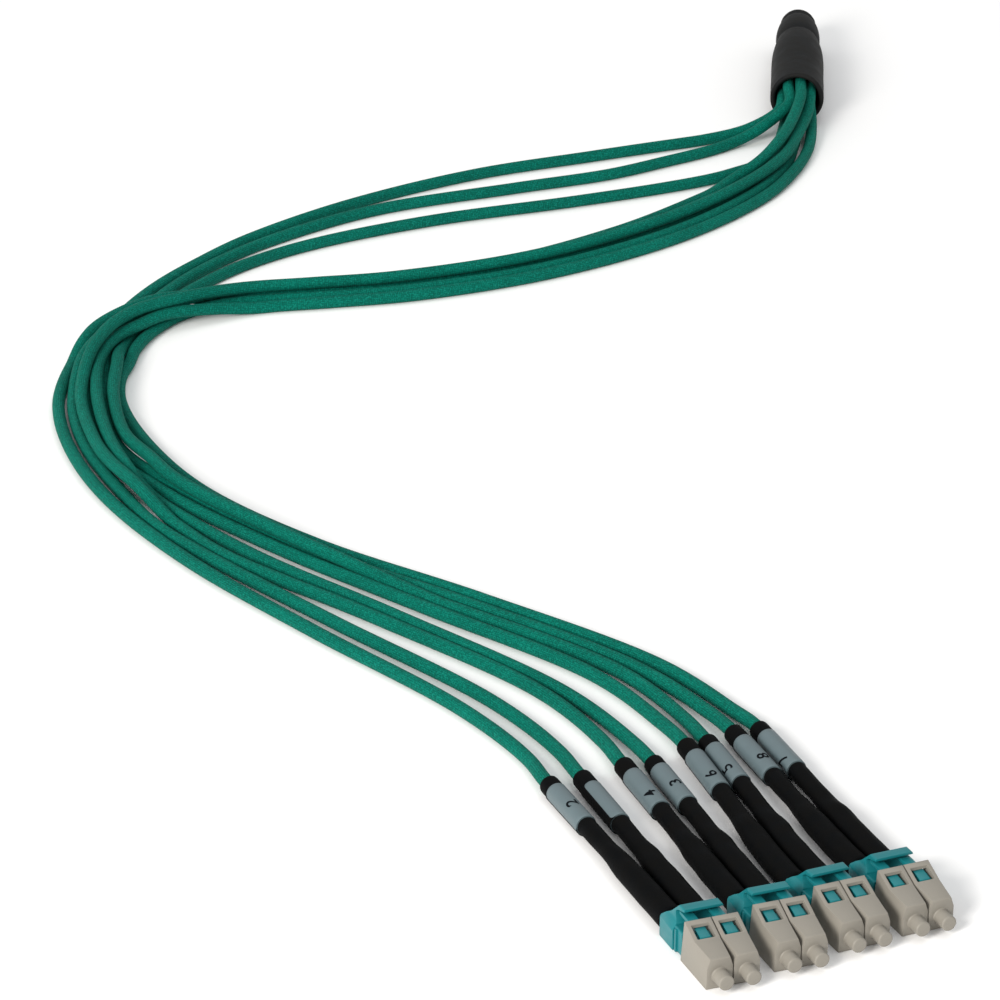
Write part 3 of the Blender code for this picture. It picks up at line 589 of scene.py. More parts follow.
def finish(name):
    """The named finish, made on its first use."""
    if name not in FINISHES:
        _, colours, _ = settings()
        boot, tube = tuple(colours.boot), tuple(colours.tube)
        aqua, cap = tuple(colours.aqua), tuple(colours.cap)
        warm_boot = (0.020, 0.019, 0.017)
        warm_tube = (0.0050, 0.0046, 0.0040)
        makers = {
            "braid": braid_material,
            "boot": lambda: shrink_material("boot_heatshrink", boot, 0.62, warm_boot, 0.08),
            "tube": lambda: shrink_material("tube_heatshrink", tube, 0.6, warm_tube, 0.02),
            "sleeve": sleeve_material,
            "aqua": lambda: moulded_material("aqua_moulding", aqua, 0.36, 0.5, 1.18),
            "cap": lambda: moulded_material("cap_moulding", cap, 0.46, 0.5, 1.10),
            "ceramic": ceramic_material,
            "ink": ink_material,
            "floor": floor_material,
        }
        FINISHES[name] = makers[name]()
    return FINISHES[name]


# Mesh helpers


def new_mesh_object(name, points, faces, finish_name, smooth_angle=35):
    """An object from points in millimetres, with its faces turned outwards."""
    mesh = bpy.data.meshes.new(name)
    mesh.from_pydata([tuple(mm(p)) for p in points], [], faces)
    work = bmesh.new()
    work.from_mesh(mesh)
    bmesh.ops.remove_doubles(work, verts=work.verts, dist=1e-7)
    bmesh.ops.recalc_face_normals(work, faces=work.faces)
    work.to_mesh(mesh)
    work.free()
    return link(name, mesh, finish_name, smooth_angle)


def link(name, mesh, finish_name, smooth_angle=35):
    """Puts a mesh in the scene in one finish, smooth but for edges past the angle."""
    mesh.name = name
    mesh.materials.clear()
    mesh.materials.append(finish(finish_name))
    for polygon in mesh.polygons:
        polygon.use_smooth = True
        polygon.material_index = 0
    mesh.set_sharp_from_angle(angle=math.radians(smooth_angle))
    made = bpy.data.objects.new(name, mesh)
    bpy.context.scene.collection.objects.link(made)
    return made


def baked(obj):
    """The object's modifiers applied, as a new mesh."""
    bpy.context.view_layer.update()
    evaluated = obj.evaluated_get(bpy.context.evaluated_depsgraph_get())
    return bpy.data.meshes.new_from_object(evaluated)


def ring_faces(rings):
    """Faces between rings of points; a ring of one point closes an end."""
    faces = []
    for first, second in zip(rings, rings[1:]):
        if len(first) == 1 and len(second) == 1:
            continue
        sides = max(len(first), len(second))
        for i in range(sides):
            j = (i + 1) % sides
            if len(first) == 1:
                faces.append([first[0], second[i], second[j]])
            elif len(second) == 1:
                faces.append([first[i], first[j], second[0]])
            else:
                faces.append([first[i], first[j], second[j], second[i]])
    return faces


def prism(profile, half_width, axis="Y"):
    """Points and faces of an outline drawn out both ways along an axis."""
    count = len(profile)
    points = []
    for side in (-1, 1):
        for a, b in profile:
            points.append((a, side * half_width, b) if axis == "Y" else (side * half_width, a, b))
    faces = [list(range(count)), list(range(2 * count - 1, count - 1, -1))]
    for i in range(count):
        j = (i + 1) % count
        faces.append([i, j, count + j, count + i])
    return points, faces


def moved(shape, matrix):
    """Points and faces, with the points carried by a matrix."""
    points, faces = shape
    return [tuple(matrix @ Vector(p)) for p in points], faces


def block(x_range, y_range, z_range):
    """Points and faces of a box with its sides along the axes."""
    x0, x1 = x_range
    y0, y1 = y_range
    outline = [(x0, z_range[0]), (x1, z_range[0]), (x1, z_range[1]), (x0, z_range[1])]
    return moved(prism(outline, (y1 - y0) / 2), Matrix.Translation((0, (y0 + y1) / 2, 0)))


def turned(profile, sides, wobble=None):
    """Points and faces of (x, radius) turned about the X axis; radius 0 closes an end."""
    points, rings = [], []
    for x, radius in profile:
        if radius == 0:
            rings.append([len(points)])
            points.append((x, 0.0, 0.0))
            continue
        ring = []
        for i in range(sides):
            angle = math.tau * i / sides
            r = radius if wobble is None else radius + wobble(x, angle)
            ring.append(len(points))
            points.append((x, r * math.cos(angle), r * math.sin(angle)))
        rings.append(ring)
    return points, ring_faces(rings)


def rounded_profile(points, radius, steps=5):
    """An outline with its corners rounded; a point may carry its own radius."""
    out = []
    count = len(points)
    for i in range(count):
        here = Vector(points[i][:2])
        before = Vector(points[i - 1][:2])
        after = Vector(points[(i + 1) % count][:2])
        r = points[i][2] if len(points[i]) > 2 else radius
        to_before = (before - here).normalized()
        to_after = (after - here).normalized()
        angle = to_before.angle(to_after)
        if r <= 0 or angle > math.radians(176):
            out.append(tuple(here))
            continue
        longest = 0.49 * min((before - here).length, (after - here).length)
        reach = min(r / math.tan(angle / 2), longest)
        start = here + to_before * reach
        end = here + to_after * reach
        for k in range(steps + 1):
            t = k / steps
            out.append(tuple(start * (1 - t) ** 2 + here * 2 * t * (1 - t) + end * t ** 2))
    return out


def cut_mesh(name, base, steps, bevel=None):
    """A mesh from one shape, bevelled, with others joined to it or cut from it, in order.

    A step is (operation, shape, bevel of that shape), or ("BEVEL", width, None) for all the edges
    so far.
    """
    body = new_mesh_object(name, *base, "cap")
    if bevel:
        add_bevel(body, bevel)
    helpers = []
    for operation, shape, helper_bevel in steps:
        if operation == "BEVEL":
            add_bevel(body, shape, 2, 40)
            continue
        helper = new_mesh_object(name + "_cutter", *shape, "cap")
        if helper_bevel:
            add_bevel(helper, helper_bevel)
        helper.hide_render = True
        modifier = body.modifiers.new(operation.lower(), "BOOLEAN")
        modifier.operation = operation
        modifier.solver = "EXACT"
        modifier.object = helper
        helpers.append(helper)
    mesh = baked(body)
    for used in [body, *helpers]:
        bpy.data.objects.remove(used)
    return mesh


def add_bevel(obj, width, segments=3, angle=30):
    """Rounds the edges that are sharper than the angle."""
    modifier = obj.modifiers.new("edge", "BEVEL")
    modifier.width = width * MM
    modifier.segments = segments
    modifier.limit_method = "ANGLE"
    modifier.angle_limit = math.radians(angle)


def placed(name, mesh, matrix, finish_name, smooth_angle=35):
    """A copy of a mesh made in millimetre-scaled own axes, at its place in the frame."""
    copy = mesh.copy()
    scaled = matrix.copy()
    scaled.translation = matrix.translation * MM
    copy.transform(scaled)
    return link(name, copy, finish_name, smooth_angle)


# Legs


def leg_tube_tree():
    """Geometry Nodes: sweeps a round section along a leg's line and lays a braid's UV map on it."""
    tree = bpy.data.node_groups.new("braided_leg_tube", "GeometryNodeTree")
    interface = tree.interface
    interface.new_socket("Geometry", in_out="INPUT", socket_type="NodeSocketGeometry")
    interface.new_socket("Diameter", in_out="INPUT", socket_type="NodeSocketFloat")
    interface.new_socket("Sides", in_out="INPUT", socket_type="NodeSocketInt")
    interface.new_socket("Rings", in_out="INPUT", socket_type="NodeSocketInt")
    interface.new_socket("Finish", in_out="INPUT", socket_type="NodeSocketMaterial")
    interface.new_socket("Geometry", in_out="OUTPUT", socket_type="NodeSocketGeometry")
    nodes, links = tree.nodes, tree.links
    source = nodes.new("NodeGroupInput")
    target = nodes.new("NodeGroupOutput")
    even = nodes.new("GeometryNodeResampleCurve")
    links.new(source.outputs["Geometry"], even.inputs["Curve"])
    links.new(source.outputs["Rings"], even.inputs["Count"])
    section = nodes.new("GeometryNodeCurveArc")
    section.inputs["Start Angle"].default_value = 0.0
    section.inputs["Sweep Angle"].default_value = math.tau
    links.new(source.outputs["Sides"], section.inputs["Resolution"])
    radius = nodes.new("ShaderNodeMath")
    radius.operation = "MULTIPLY"
    radius.inputs[1].default_value = 0.5
    links.new(source.outputs["Diameter"], radius.inputs[0])
    links.new(radius.outputs[0], section.inputs["Radius"])
    kept = []
    for curve, output in ((even.outputs["Curve"], "Length"), (section.outputs["Curve"], "Factor")):
        capture = nodes.new("GeometryNodeCaptureAttribute")
        capture.capture_items.new("FLOAT", output)
        parameter = nodes.new("GeometryNodeSplineParameter")
        links.new(curve, capture.inputs["Geometry"])
        links.new(parameter.outputs[output], capture.inputs[output])
        kept.append(capture)
    sweep = nodes.new("GeometryNodeCurveToMesh")
    sweep.inputs["Fill Caps"].default_value = False
    links.new(kept[0].outputs["Geometry"], sweep.inputs["Curve"])
    links.new(kept[1].outputs["Geometry"], sweep.inputs["Profile Curve"])
    pair = nodes.new("ShaderNodeCombineXYZ")
    links.new(kept[0].outputs["Length"], pair.inputs["X"])
    links.new(kept[1].outputs["Factor"], pair.inputs["Y"])
    store = nodes.new("GeometryNodeStoreNamedAttribute")
    store.data_type = "FLOAT2"
    store.domain = "CORNER"
    store.inputs["Name"].default_value = "along_around"
    links.new(sweep.outputs["Mesh"], store.inputs["Geometry"])
    links.new(pair.outputs["Vector"], store.inputs["Value"])
    weld = nodes.new("GeometryNodeMergeByDistance")
    weld.inputs["Distance"].default_value = 1e-6
    links.new(store.outputs["Geometry"], weld.inputs["Geometry"])
    real = nodes.new("GeometryNodeRealizeInstances")
    links.new(weld.outputs["Geometry"], real.inputs["Geometry"])
    smooth = nodes.new("GeometryNodeSetShadeSmooth")
    links.new(real.outputs["Geometry"], smooth.inputs["Geometry"])
    dress = nodes.new("GeometryNodeSetMaterial")
    links.new(smooth.outputs["Geometry"], dress.inputs["Geometry"])
    links.new(source.outputs["Finish"], dress.inputs["Material"])
    links.new(dress.outputs["Geometry"], target.inputs["Geometry"])
    return tree


def set_inputs(modifier, **values):
    """Sets a Geometry Nodes modifier's inputs by their sockets' identifiers."""
    for item in modifier.node_group.interface.items_tree:
        if item.item_type == "SOCKET" and item.in_out == "INPUT" and item.name in values:
            modifier[item.identifier] = values[item.name]


class CABLE_OT_legs(bpy.types.Operator):
    """Lay the eight braided legs on the floor"""

    bl_idname = "cable.legs"
    bl_label = "Braided legs"

    def execute(self, context):
        sizes, _, _ = settings()
        tree = leg_tube_tree()
        for leg in LEGS:
            path = leg_path(leg, LEG_RINGS)
            curve = bpy.data.curves.new(f"leg_line_{leg}", "CURVE")
            curve.dimensions = "3D"
            spline = curve.splines.new("POLY")
            spline.points.add(len(path) - 1)
            for target, place in zip(spline.points, path):
                target.co = (*place, 1.0)
            line = bpy.data.objects.new(f"leg_line_{leg}", curve)
            context.scene.collection.objects.link(line)
            modifier = line.modifiers.new("tube", "NODES")
            modifier.node_group = tree
            set_inputs(
                modifier, Diameter=sizes.leg_diameter, Sides=LEG_SIDES, Rings=LEG_RINGS,
                Finish=finish("braid"),
            )
            mesh = baked(line)
            bpy.data.objects.remove(line)
            tube = close_ends(mesh, f"braided_leg_{leg}")
            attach(tube, "cable")
            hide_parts(f"leg_{leg}")
        return {"FINISHED"}


def close_ends(mesh, name):
    """Closes a tube's two open ends and turns its faces outwards."""
    work = bmesh.new()
    work.from_mesh(mesh)
    bmesh.ops.holes_fill(work, edges=[e for e in work.edges if e.is_boundary], sides=0)
    bmesh.ops.recalc_face_normals(work, faces=work.faces)
    work.to_mesh(mesh)
    work.free()
    mesh.name = name
    for polygon in mesh.polygons:
        polygon.use_smooth = True
    made = bpy.data.objects.new(name, mesh)
    bpy.context.scene.collection.objects.link(made)
    return made


# Boot


def boot_radii():
    """Distance from the mouth and outer radius along the boot: two necks between smooth lengths."""
    knots_and_glints = [
        (0.9, 8.0), (8.0, 7.98), (16.0, 7.92), (24.0, 7.96), (31.0, 7.9), (36.0, 7.7), (40.5, 7.3),
        (43.6, 6.95), (45.4, 6.72), (46.3, 6.45), (47.2, 6.42), (48.3, 6.62), (50.5, 6.78),
        (54.5, 6.68), (58.0, 6.35), (60.4, 6.0), (61.4, 5.72), (62.3, 5.42), (63.2, 5.4),
        (64.2, 5.52), (65.6, 5.42), (66.3, 5.05),
    ]
    curve = smooth_path([(x, r, 0.0) for x, r in knots_and_glints], BOOT_STATIONS)
    return [(float(x), float(r)) for x, r, _ in curve]


def boot_wobble(x, angle):
    """Unevenness that shrinking leaves: broad flats and folds that run lengthwise at the necks."""
    if x <= 1.0:
        return 0.0
    fade = min(1.0, x / 10.0)
    broad = 0.05 * math.sin(3 * angle + x / 40.0) + 0.03 * math.sin(5 * angle + 1.3)
    fold = 0.09 * math.sin(11 * angle + 2.0) * math.exp(-((x - FIRST_NECK) / 4.0) ** 2)
    fold += 0.07 * math.sin(9 * angle + 0.7) * math.exp(-((x - SECOND_NECK) / 2.6) ** 2)
    return -abs(broad) * fade * 0.6 - abs(fold)


class CABLE_OT_boot(bpy.types.Operator):
    """Make the stepped boot where the legs leave the cable"""

    bl_idname = "cable.boot"
    bl_label = "Boot"

    def execute(self, context):
        bore = [
            (BOOT_INSERTION, 0.0), (BOOT_INSERTION, BOOT_BORE_RADIUS - 0.25),
            (BOOT_INSERTION - 0.7, BOOT_BORE_RADIUS), (1.0, BOOT_BORE_RADIUS),
        ]
        lip = [
            (0.35, BOOT_BORE_RADIUS + 0.18), (0.05, BOOT_BORE_RADIUS + 0.55),
            (0.0, BOOT_BORE_RADIUS + 0.85), (0.08, BOOT_RADIUS - 0.25), (0.35, BOOT_RADIUS - 0.06),
        ]
        small_end = [(66.55, 4.75), (66.7, 3.9), (66.6, 2.4), (66.45, 1.2), (66.4, 0.0)]
        shape = turned(bore + lip + boot_radii() + small_end, BOOT_SIDES, boot_wobble)
        place = Matrix.Translation((*BOOT_MOUTH, BOOT_RADIUS))
        place = place @ Matrix.Rotation(math.pi / 2 - BOOT_TURN, 4, "Z")
        boot = new_mesh_object("heatshrink_boot", *moved(shape, place), "boot", 45)
        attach(boot, "cable")
        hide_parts("fanout_boot")
        return {"FINISHED"}


# Heat-shrink tubes, sleeves and digits


def tube_profile(leg):
    """Distance and radius pairs of a leg's heat-shrink tube, from its collar to the plug."""
    start, _, end = tube_line(leg)
    length = (end - start).length
    collar = COLLAR_LENGTHS[leg]
    neck_end = collar + MARKER_LENGTH + GAP
    wide = length - TUBE_WIDE_LENGTH
    profile = [
        (SOCKET_DEPTH, 0.0), (SOCKET_DEPTH, SOCKET_RADIUS), (0.35, SOCKET_RADIUS), (0.05, 1.85),
        (0.0, 2.0), (0.1, COLLAR_RADIUS - 0.03), (0.4, COLLAR_RADIUS), (2.0, COLLAR_RADIUS),
        (collar - 0.4, COLLAR_RADIUS), (collar - 0.08, COLLAR_RADIUS - 0.06),
        (collar, COLLAR_RADIUS - 0.2), (collar, NECK_RADIUS), (neck_end, NECK_RADIUS),
        (neck_end, TUBE_RADIUS - 0.15), (neck_end + 0.1, TUBE_RADIUS),
        (neck_end + 0.5, TUBE_RADIUS + 0.06),
    ]
    distance = neck_end + 1.2
    while distance < length - 0.4:
        profile.append((distance, wide_radius(distance, wide)))
        distance += 0.9
    profile += [
        (length - 0.25, TUBE_WIDE_RADIUS - 0.02), (length, TUBE_WIDE_RADIUS - 0.25), (length, 0.0),
    ]
    return profile


def wide_radius(distance, wide):
    """The tube widens from the leg to the plug's crimp over a lumpy stretch."""
    if distance < wide - 14:
        return TUBE_RADIUS
    if distance > wide + 1:
        return TUBE_WIDE_RADIUS
    t = (distance - wide + 14) / 15
    ease = t * t * (3 - 2 * t)
    return TUBE_RADIUS + (TUBE_WIDE_RADIUS - TUBE_RADIUS) * ease


def tube_lumps(leg, distance, angle):
    """Shallow dents where the tube has shrunk onto the crimp and the leg."""
    start, _, end = tube_line(leg)
    wide = (end - start).length - TUBE_WIDE_LENGTH
    near = math.exp(-((distance - wide + 4) / 9) ** 2)
    dent = 0.26 * math.sin(angle + leg * 1.7) * math.sin(distance / 2.4 + leg)
    dent += 0.14 * math.sin(2 * angle - distance / 1.7 + leg * 0.9)
    along = 0.05 * math.sin(distance / 3.1 + leg * 2.0)
    return (dent * 0.5 - 0.16) * near - abs(along)


class CABLE_OT_tubes(bpy.types.Operator):
    """Make the black heat-shrink tube on each leg's end"""

    bl_idname = "cable.tubes"
    bl_label = "Heat-shrink tubes"

    def execute(self, context):
        for leg in LEGS:
            points, rings = [], []
            for distance, radius in tube_profile(leg):
                centre, _, across, up = tube_axes(leg, distance)
                if radius == 0:
                    rings.append([len(points)])
                    points.append(tuple(centre))
                    continue
                ring = []
                for i in range(TUBE_SIDES):
                    angle = math.tau * i / TUBE_SIDES
                    outwards = across * math.cos(angle) + up * math.sin(angle)
                    r = radius
                    if distance > COLLAR_LENGTHS[leg] + MARKER_LENGTH + 1:
                        r += tube_lumps(leg, distance, angle)
                    ring.append(len(points))
                    points.append(tuple(centre + outwards * r))
                rings.append(ring)
            tube = new_mesh_object(f"shrink_tube_{leg}", points, ring_faces(rings), "tube", 50)
            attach(tube, "cable")
            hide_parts(f"heatshrink_{leg}")
        return {"FINISHED"}


def on_sleeve(leg, distance, angle, radius):
    """Point on a sleeve; the angle goes from straight up towards the tube's left side."""
    centre, _, across, up = tube_axes(leg, distance)
    return centre + (up * math.cos(angle) - across * math.sin(angle)) * radius


def make_sleeve(leg):
    """The grey sleeve over a tube's neck, with its edges eased."""
    first, last = COLLAR_LENGTHS[leg] + 0.1, COLLAR_LENGTHS[leg] + MARKER_LENGTH + 0.1
    inner = SLEEVE_RADIUS - SLEEVE_WALL
    stations = [(first, inner), (first, SLEEVE_RADIUS - 0.08), (first + 0.1, SLEEVE_RADIUS)]
    stations += [(float(d), SLEEVE_RADIUS) for d in np.linspace(first + 1.5, last - 1.5, 8)]
    stations += [(last - 0.1, SLEEVE_RADIUS), (last, SLEEVE_RADIUS - 0.08), (last, inner)]
    points, rings = [], []
    for distance, radius in stations:
        ring = []
        for i in range(SLEEVE_SIDES):
            ring.append(len(points))
            point = on_sleeve(leg, distance, math.tau * i / SLEEVE_SIDES, radius)
            points.append((point.x, point.y, max(point.z, FLOOR_CLEARANCE)))
        rings.append(ring)
    rings.append(rings[0])
    sleeve = new_mesh_object(f"number_sleeve_{leg}", points, ring_faces(rings), "sleeve", 50)
    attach(sleeve, "cable")
    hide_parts(f"marker_sleeve_{leg}")


def make_strip(leg):
    """The black carrier strip that closes the sleeve's back, with rounded window corners."""
    first = COLLAR_LENGTHS[leg] - 0.1
    last = COLLAR_LENGTHS[leg] + MARKER_LENGTH + GAP + 0.1
    back = math.radians(SLEEVE_TURNS[leg]) + math.pi
    distances = np.concatenate([
        np.linspace(first, first + 1.6, 8), np.linspace(first + 2.4, last - 2.4, 8),
        np.linspace(last - 1.6, last, 8),
    ])
    grid = {}
    points, faces = [], []
    for i, distance in enumerate(distances):
        from_end = min(distance - first, last - distance)
        extra = 0.0
        if from_end < STRIP_CORNER:
            rise = math.sqrt(max(0.0, 1 - (1 - from_end / STRIP_CORNER) ** 2))
            extra = STRIP_CORNER * (1 - rise)
        reach = STRIP_HALF_ANGLE + extra / SLEEVE_RADIUS
        for side, radius in enumerate((SLEEVE_RADIUS + 0.02, SLEEVE_RADIUS + 0.12)):
            for j in range(STRIP_COLUMNS):
                t = -1 + 2 * j / (STRIP_COLUMNS - 1)
                edge = min(1.0, (1 - abs(t)) * reach * SLEEVE_RADIUS / 0.25)
                r = radius if side == 0 else SLEEVE_RADIUS + 0.04 + 0.08 * math.sqrt(edge)
                grid[i, j, side] = len(points)
                point = on_sleeve(leg, float(distance), back + t * reach, r)
                points.append((point.x, point.y, max(point.z, FLOOR_CLEARANCE)))
    rows = len(distances)

    def quad(*corners):
        faces.append([grid[corner] for corner in corners])

    for i in range(rows - 1):
        for j in range(STRIP_COLUMNS - 1):
            for side in (0, 1):
                quad((i, j, side), (i + 1, j, side), (i + 1, j + 1, side), (i, j + 1, side))
        for j in (0, STRIP_COLUMNS - 1):
            quad((i, j, 0), (i + 1, j, 0), (i + 1, j, 1), (i, j, 1))
    for i in (0, rows - 1):
        for j in range(STRIP_COLUMNS - 1):
            quad((i, j, 0), (i, j + 1, 0), (i, j + 1, 1), (i, j, 1))
    strip = new_mesh_object(f"carrier_strip_{leg}", points, faces, "tube", 50)
    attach(strip, "cable")


def make_digit(leg):
    """The leg's number, wrapped round its sleeve and turned across it."""
    height = bpy.context.scene.cable_sizes.digit_height / MM
    text = bpy.data.curves.new(f"digit_{leg}", "FONT")
    text.body = str(leg)
    text.size = height / CAPITAL_HEIGHT
    text.align_x = "CENTER"
    text.resolution_u = 4
    text.offset = DIGIT_WEIGHT
    holder = bpy.data.objects.new(f"digit_{leg}", text)
    bpy.context.scene.collection.objects.link(holder)
    flat = baked(holder)
    bpy.data.objects.remove(holder)
    work = bmesh.new()
    work.from_mesh(flat)
    bmesh.ops.remove_doubles(work, verts=work.verts, dist=1e-5)
    bmesh.ops.triangulate(work, faces=work.faces)
    for _ in range(4):
        long_edges = [e for e in work.edges if e.calc_length() > DIGIT_FACET]
        bmesh.ops.subdivide_edges(work, edges=long_edges, cuts=1)
        bmesh.ops.triangulate(work, faces=work.faces)
    middle = DIGIT_DISTANCES[leg]
    turn = math.radians(DIGIT_TURNS[leg])
    for vertex in work.verts:
        x, y, _ = vertex.co
        distance = middle - x * DIGIT_STRETCH
        angle = turn - (y - height / 2) / SLEEVE_RADIUS
        vertex.co = on_sleeve(leg, distance, angle, SLEEVE_RADIUS + DIGIT_STANDOFF) * MM
    work.to_mesh(flat)
    work.free()
    digit = link(f"printed_digit_{leg}", flat, "ink")
    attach(digit, "cable")


class CABLE_OT_sleeves(bpy.types.Operator):
    """Make the grey sleeves with their black carrier strips and printed digits"""

    bl_idname = "cable.sleeves"
    bl_label = "Numbered sleeves"

    def execute(self, context):
        for leg in LEGS:
            make_sleeve(leg)
            make_strip(leg)
            make_digit(leg)
        return {"FINISHED"}


# Connectors


def along(profile, x_from, x_to):
    """A Y-Z outline drawn out along X."""
    middle = Matrix.Translation(((x_from + x_to) / 2, 0, 0))
    return moved(prism(profile, (x_to - x_from) / 2, "X"), middle)


def nub_profile():
    """Distance and radius pairs of a cap's pull nub, with a fillet at its foot and a round end."""
    profile = [
        (-0.5, 0.0), (-0.5, NUB_RADIUS + 0.2), (0.16, NUB_RADIUS + 0.2), (0.26, NUB_RADIUS + 0.08),
        (0.45, NUB_RADIUS),
    ]
    for k in range(7):
        angle = math.pi / 2 * k / 6
        profile.append((NUB_LENGTH - NUB_ROUNDING + NUB_ROUNDING * math.sin(angle),
                        NUB_RADIUS - NUB_ROUNDING + NUB_ROUNDING * math.cos(angle)))
    profile.append((NUB_LENGTH, 0.0))
    return profile


def cap_edge_wedge(side):
    """What comes off a cap's upper side edge: hardly anything at the kink, the most in front."""
    half = CAP_WIDTH / 2
    wedge = []
    for x, z, width, drop in (
        (CAP_KINK, CAP_KINK_TOP - AXIS_Z, 0.05, 0.14),
        (0.6, CAP_FRONT_TOP - 0.05 - AXIS_Z, 0.75, 2.3),
    ):
        wedge.append((x, side * (half - 1.1 * width), z + 0.1 * drop))
        wedge.append((x, side * (half + 0.1 * width), z - 1.1 * drop))
        wedge.append((x, side * (half + 0.8), z + 0.9))
    return wedge, [[0, 1, 2], [3, 5, 4], [0, 3, 4, 1], [1, 4, 5, 2], [2, 5, 3, 0]]


def cap_shape():
    """Dust cap about its plug's axis: thin walls, a latch window and a pull nub."""
    floor = -AXIS_Z
    outline = rounded_profile([
        (CAP_REAR, floor, 0.2), (0.0, floor, 0.35), (0.2, CAP_FRONT_TOP - AXIS_Z, 0.4),
        (CAP_KINK, CAP_KINK_TOP - AXIS_Z, 0.3), (-12.0, CAP_REAR_TOP - AXIS_Z, 0.35),
    ], 0.4)
    behind = CAP_REAR - 1.5
    room = HOUSING_WIDTH / 2 + 0.25
    latch_room = [
        (behind, 0.0), (-4.4, 0.0), (-4.6, 2.5), (CAP_KINK, CAP_KINK_TOP - 0.7 - AXIS_Z),
        (behind, CAP_REAR_TOP + 0.5 - AXIS_Z),
    ]
    window_half = WINDOW_WIDTH / 2
    window = block((WINDOW_REAR, WINDOW_FRONT), (-window_half, window_half), (2.4, CUT_THROUGH))
    steps = [("DIFFERENCE", cap_edge_wedge(side), None) for side in (-1, 1)]
    steps += [
        ("BEVEL", 0.09, None),
        ("DIFFERENCE", block((behind, -1.4), (-room, room), (-room, 2.6)), None),
        ("DIFFERENCE", prism(latch_room, window_half + 0.05), None),
        ("DIFFERENCE", window, 0.2),
        ("UNION", turned(nub_profile(), 40), None),
    ]
    return cut_mesh("cap_shape", prism(outline, CAP_WIDTH / 2), steps)


def plug_section(half, cut, y=0.0, z=0.0):
    """Y-Z outline of a plug's body, with its upper corners taken off."""
    return [(y - half, z - half), (y + half, z - half), (y + half, z + half - cut),
            (y + half - cut, z + half), (y - half + cut, z + half), (y - half, z + half - cut)]


def plug_shape():
    """Plug body with its latch lever, about the plug's axis."""
    half = HOUSING_WIDTH / 2
    body = along(plug_section(half, HOUSING_CHAMFER), HOUSING_REAR, HOUSING_FRONT)
    lever = rounded_profile([
        (-5.2, half - 0.5, 0.1), (-5.2, half + 0.35, 0.2), (-7.4, 7.3 - AXIS_Z, 0.2),
        (-7.5, 8.2 - AXIS_Z, 0.35), (-10.2, 8.75 - AXIS_Z, 0.5), (-15.0, 9.0 - AXIS_Z, 0.6),
        (-18.6, 9.0 - AXIS_Z, 0.3), (-18.6, 8.2 - AXIS_Z, 0.3), (-15.0, 8.1 - AXIS_Z, 0.6),
        (-10.2, 7.45 - AXIS_Z, 0.6), (-7.0, half - 0.5, 0.3),
    ], 0.2)
    wings = [
        (-7.5, 6.9 - AXIS_Z), (-7.5, 7.6 - AXIS_Z), (-10.2, 8.15 - AXIS_Z), (-10.2, 7.4 - AXIS_Z),
    ]
    nose = [(-6.0, 0.0), (-6.0, 1.1), (-4.4, 1.1), (-4.0, 1.35), (-3.5, 1.35), (-3.5, 0.0)]
    stem = [(-24.7, 0.0), (-24.7, STEM_RADIUS), (-22.5, STEM_RADIUS), (-22.5, 0.0)]
    steps = [
        ("UNION", prism(lever, LATCH_WIDTH / 2), 0.1),
        ("UNION", prism(wings, LATCH_HEAD_WIDTH / 2), 0.1),
        ("UNION", turned(stem, 24), None),
        ("DIFFERENCE", turned(nose, 32), None),
    ]
    for side in (-1, 1):
        groove = block((-10.05, -7.0), sorted((side * 1.18, side * 1.42)), (4.15, 7.0))
        steps.append(("DIFFERENCE", groove, None))
        notch = block((-9.2, -8.0), sorted((side * 1.95, side * 2.4)), (-1.2, 1.2))
        steps.append(("DIFFERENCE", notch, None))
    return cut_mesh("plug_shape", body, steps, 0.2)


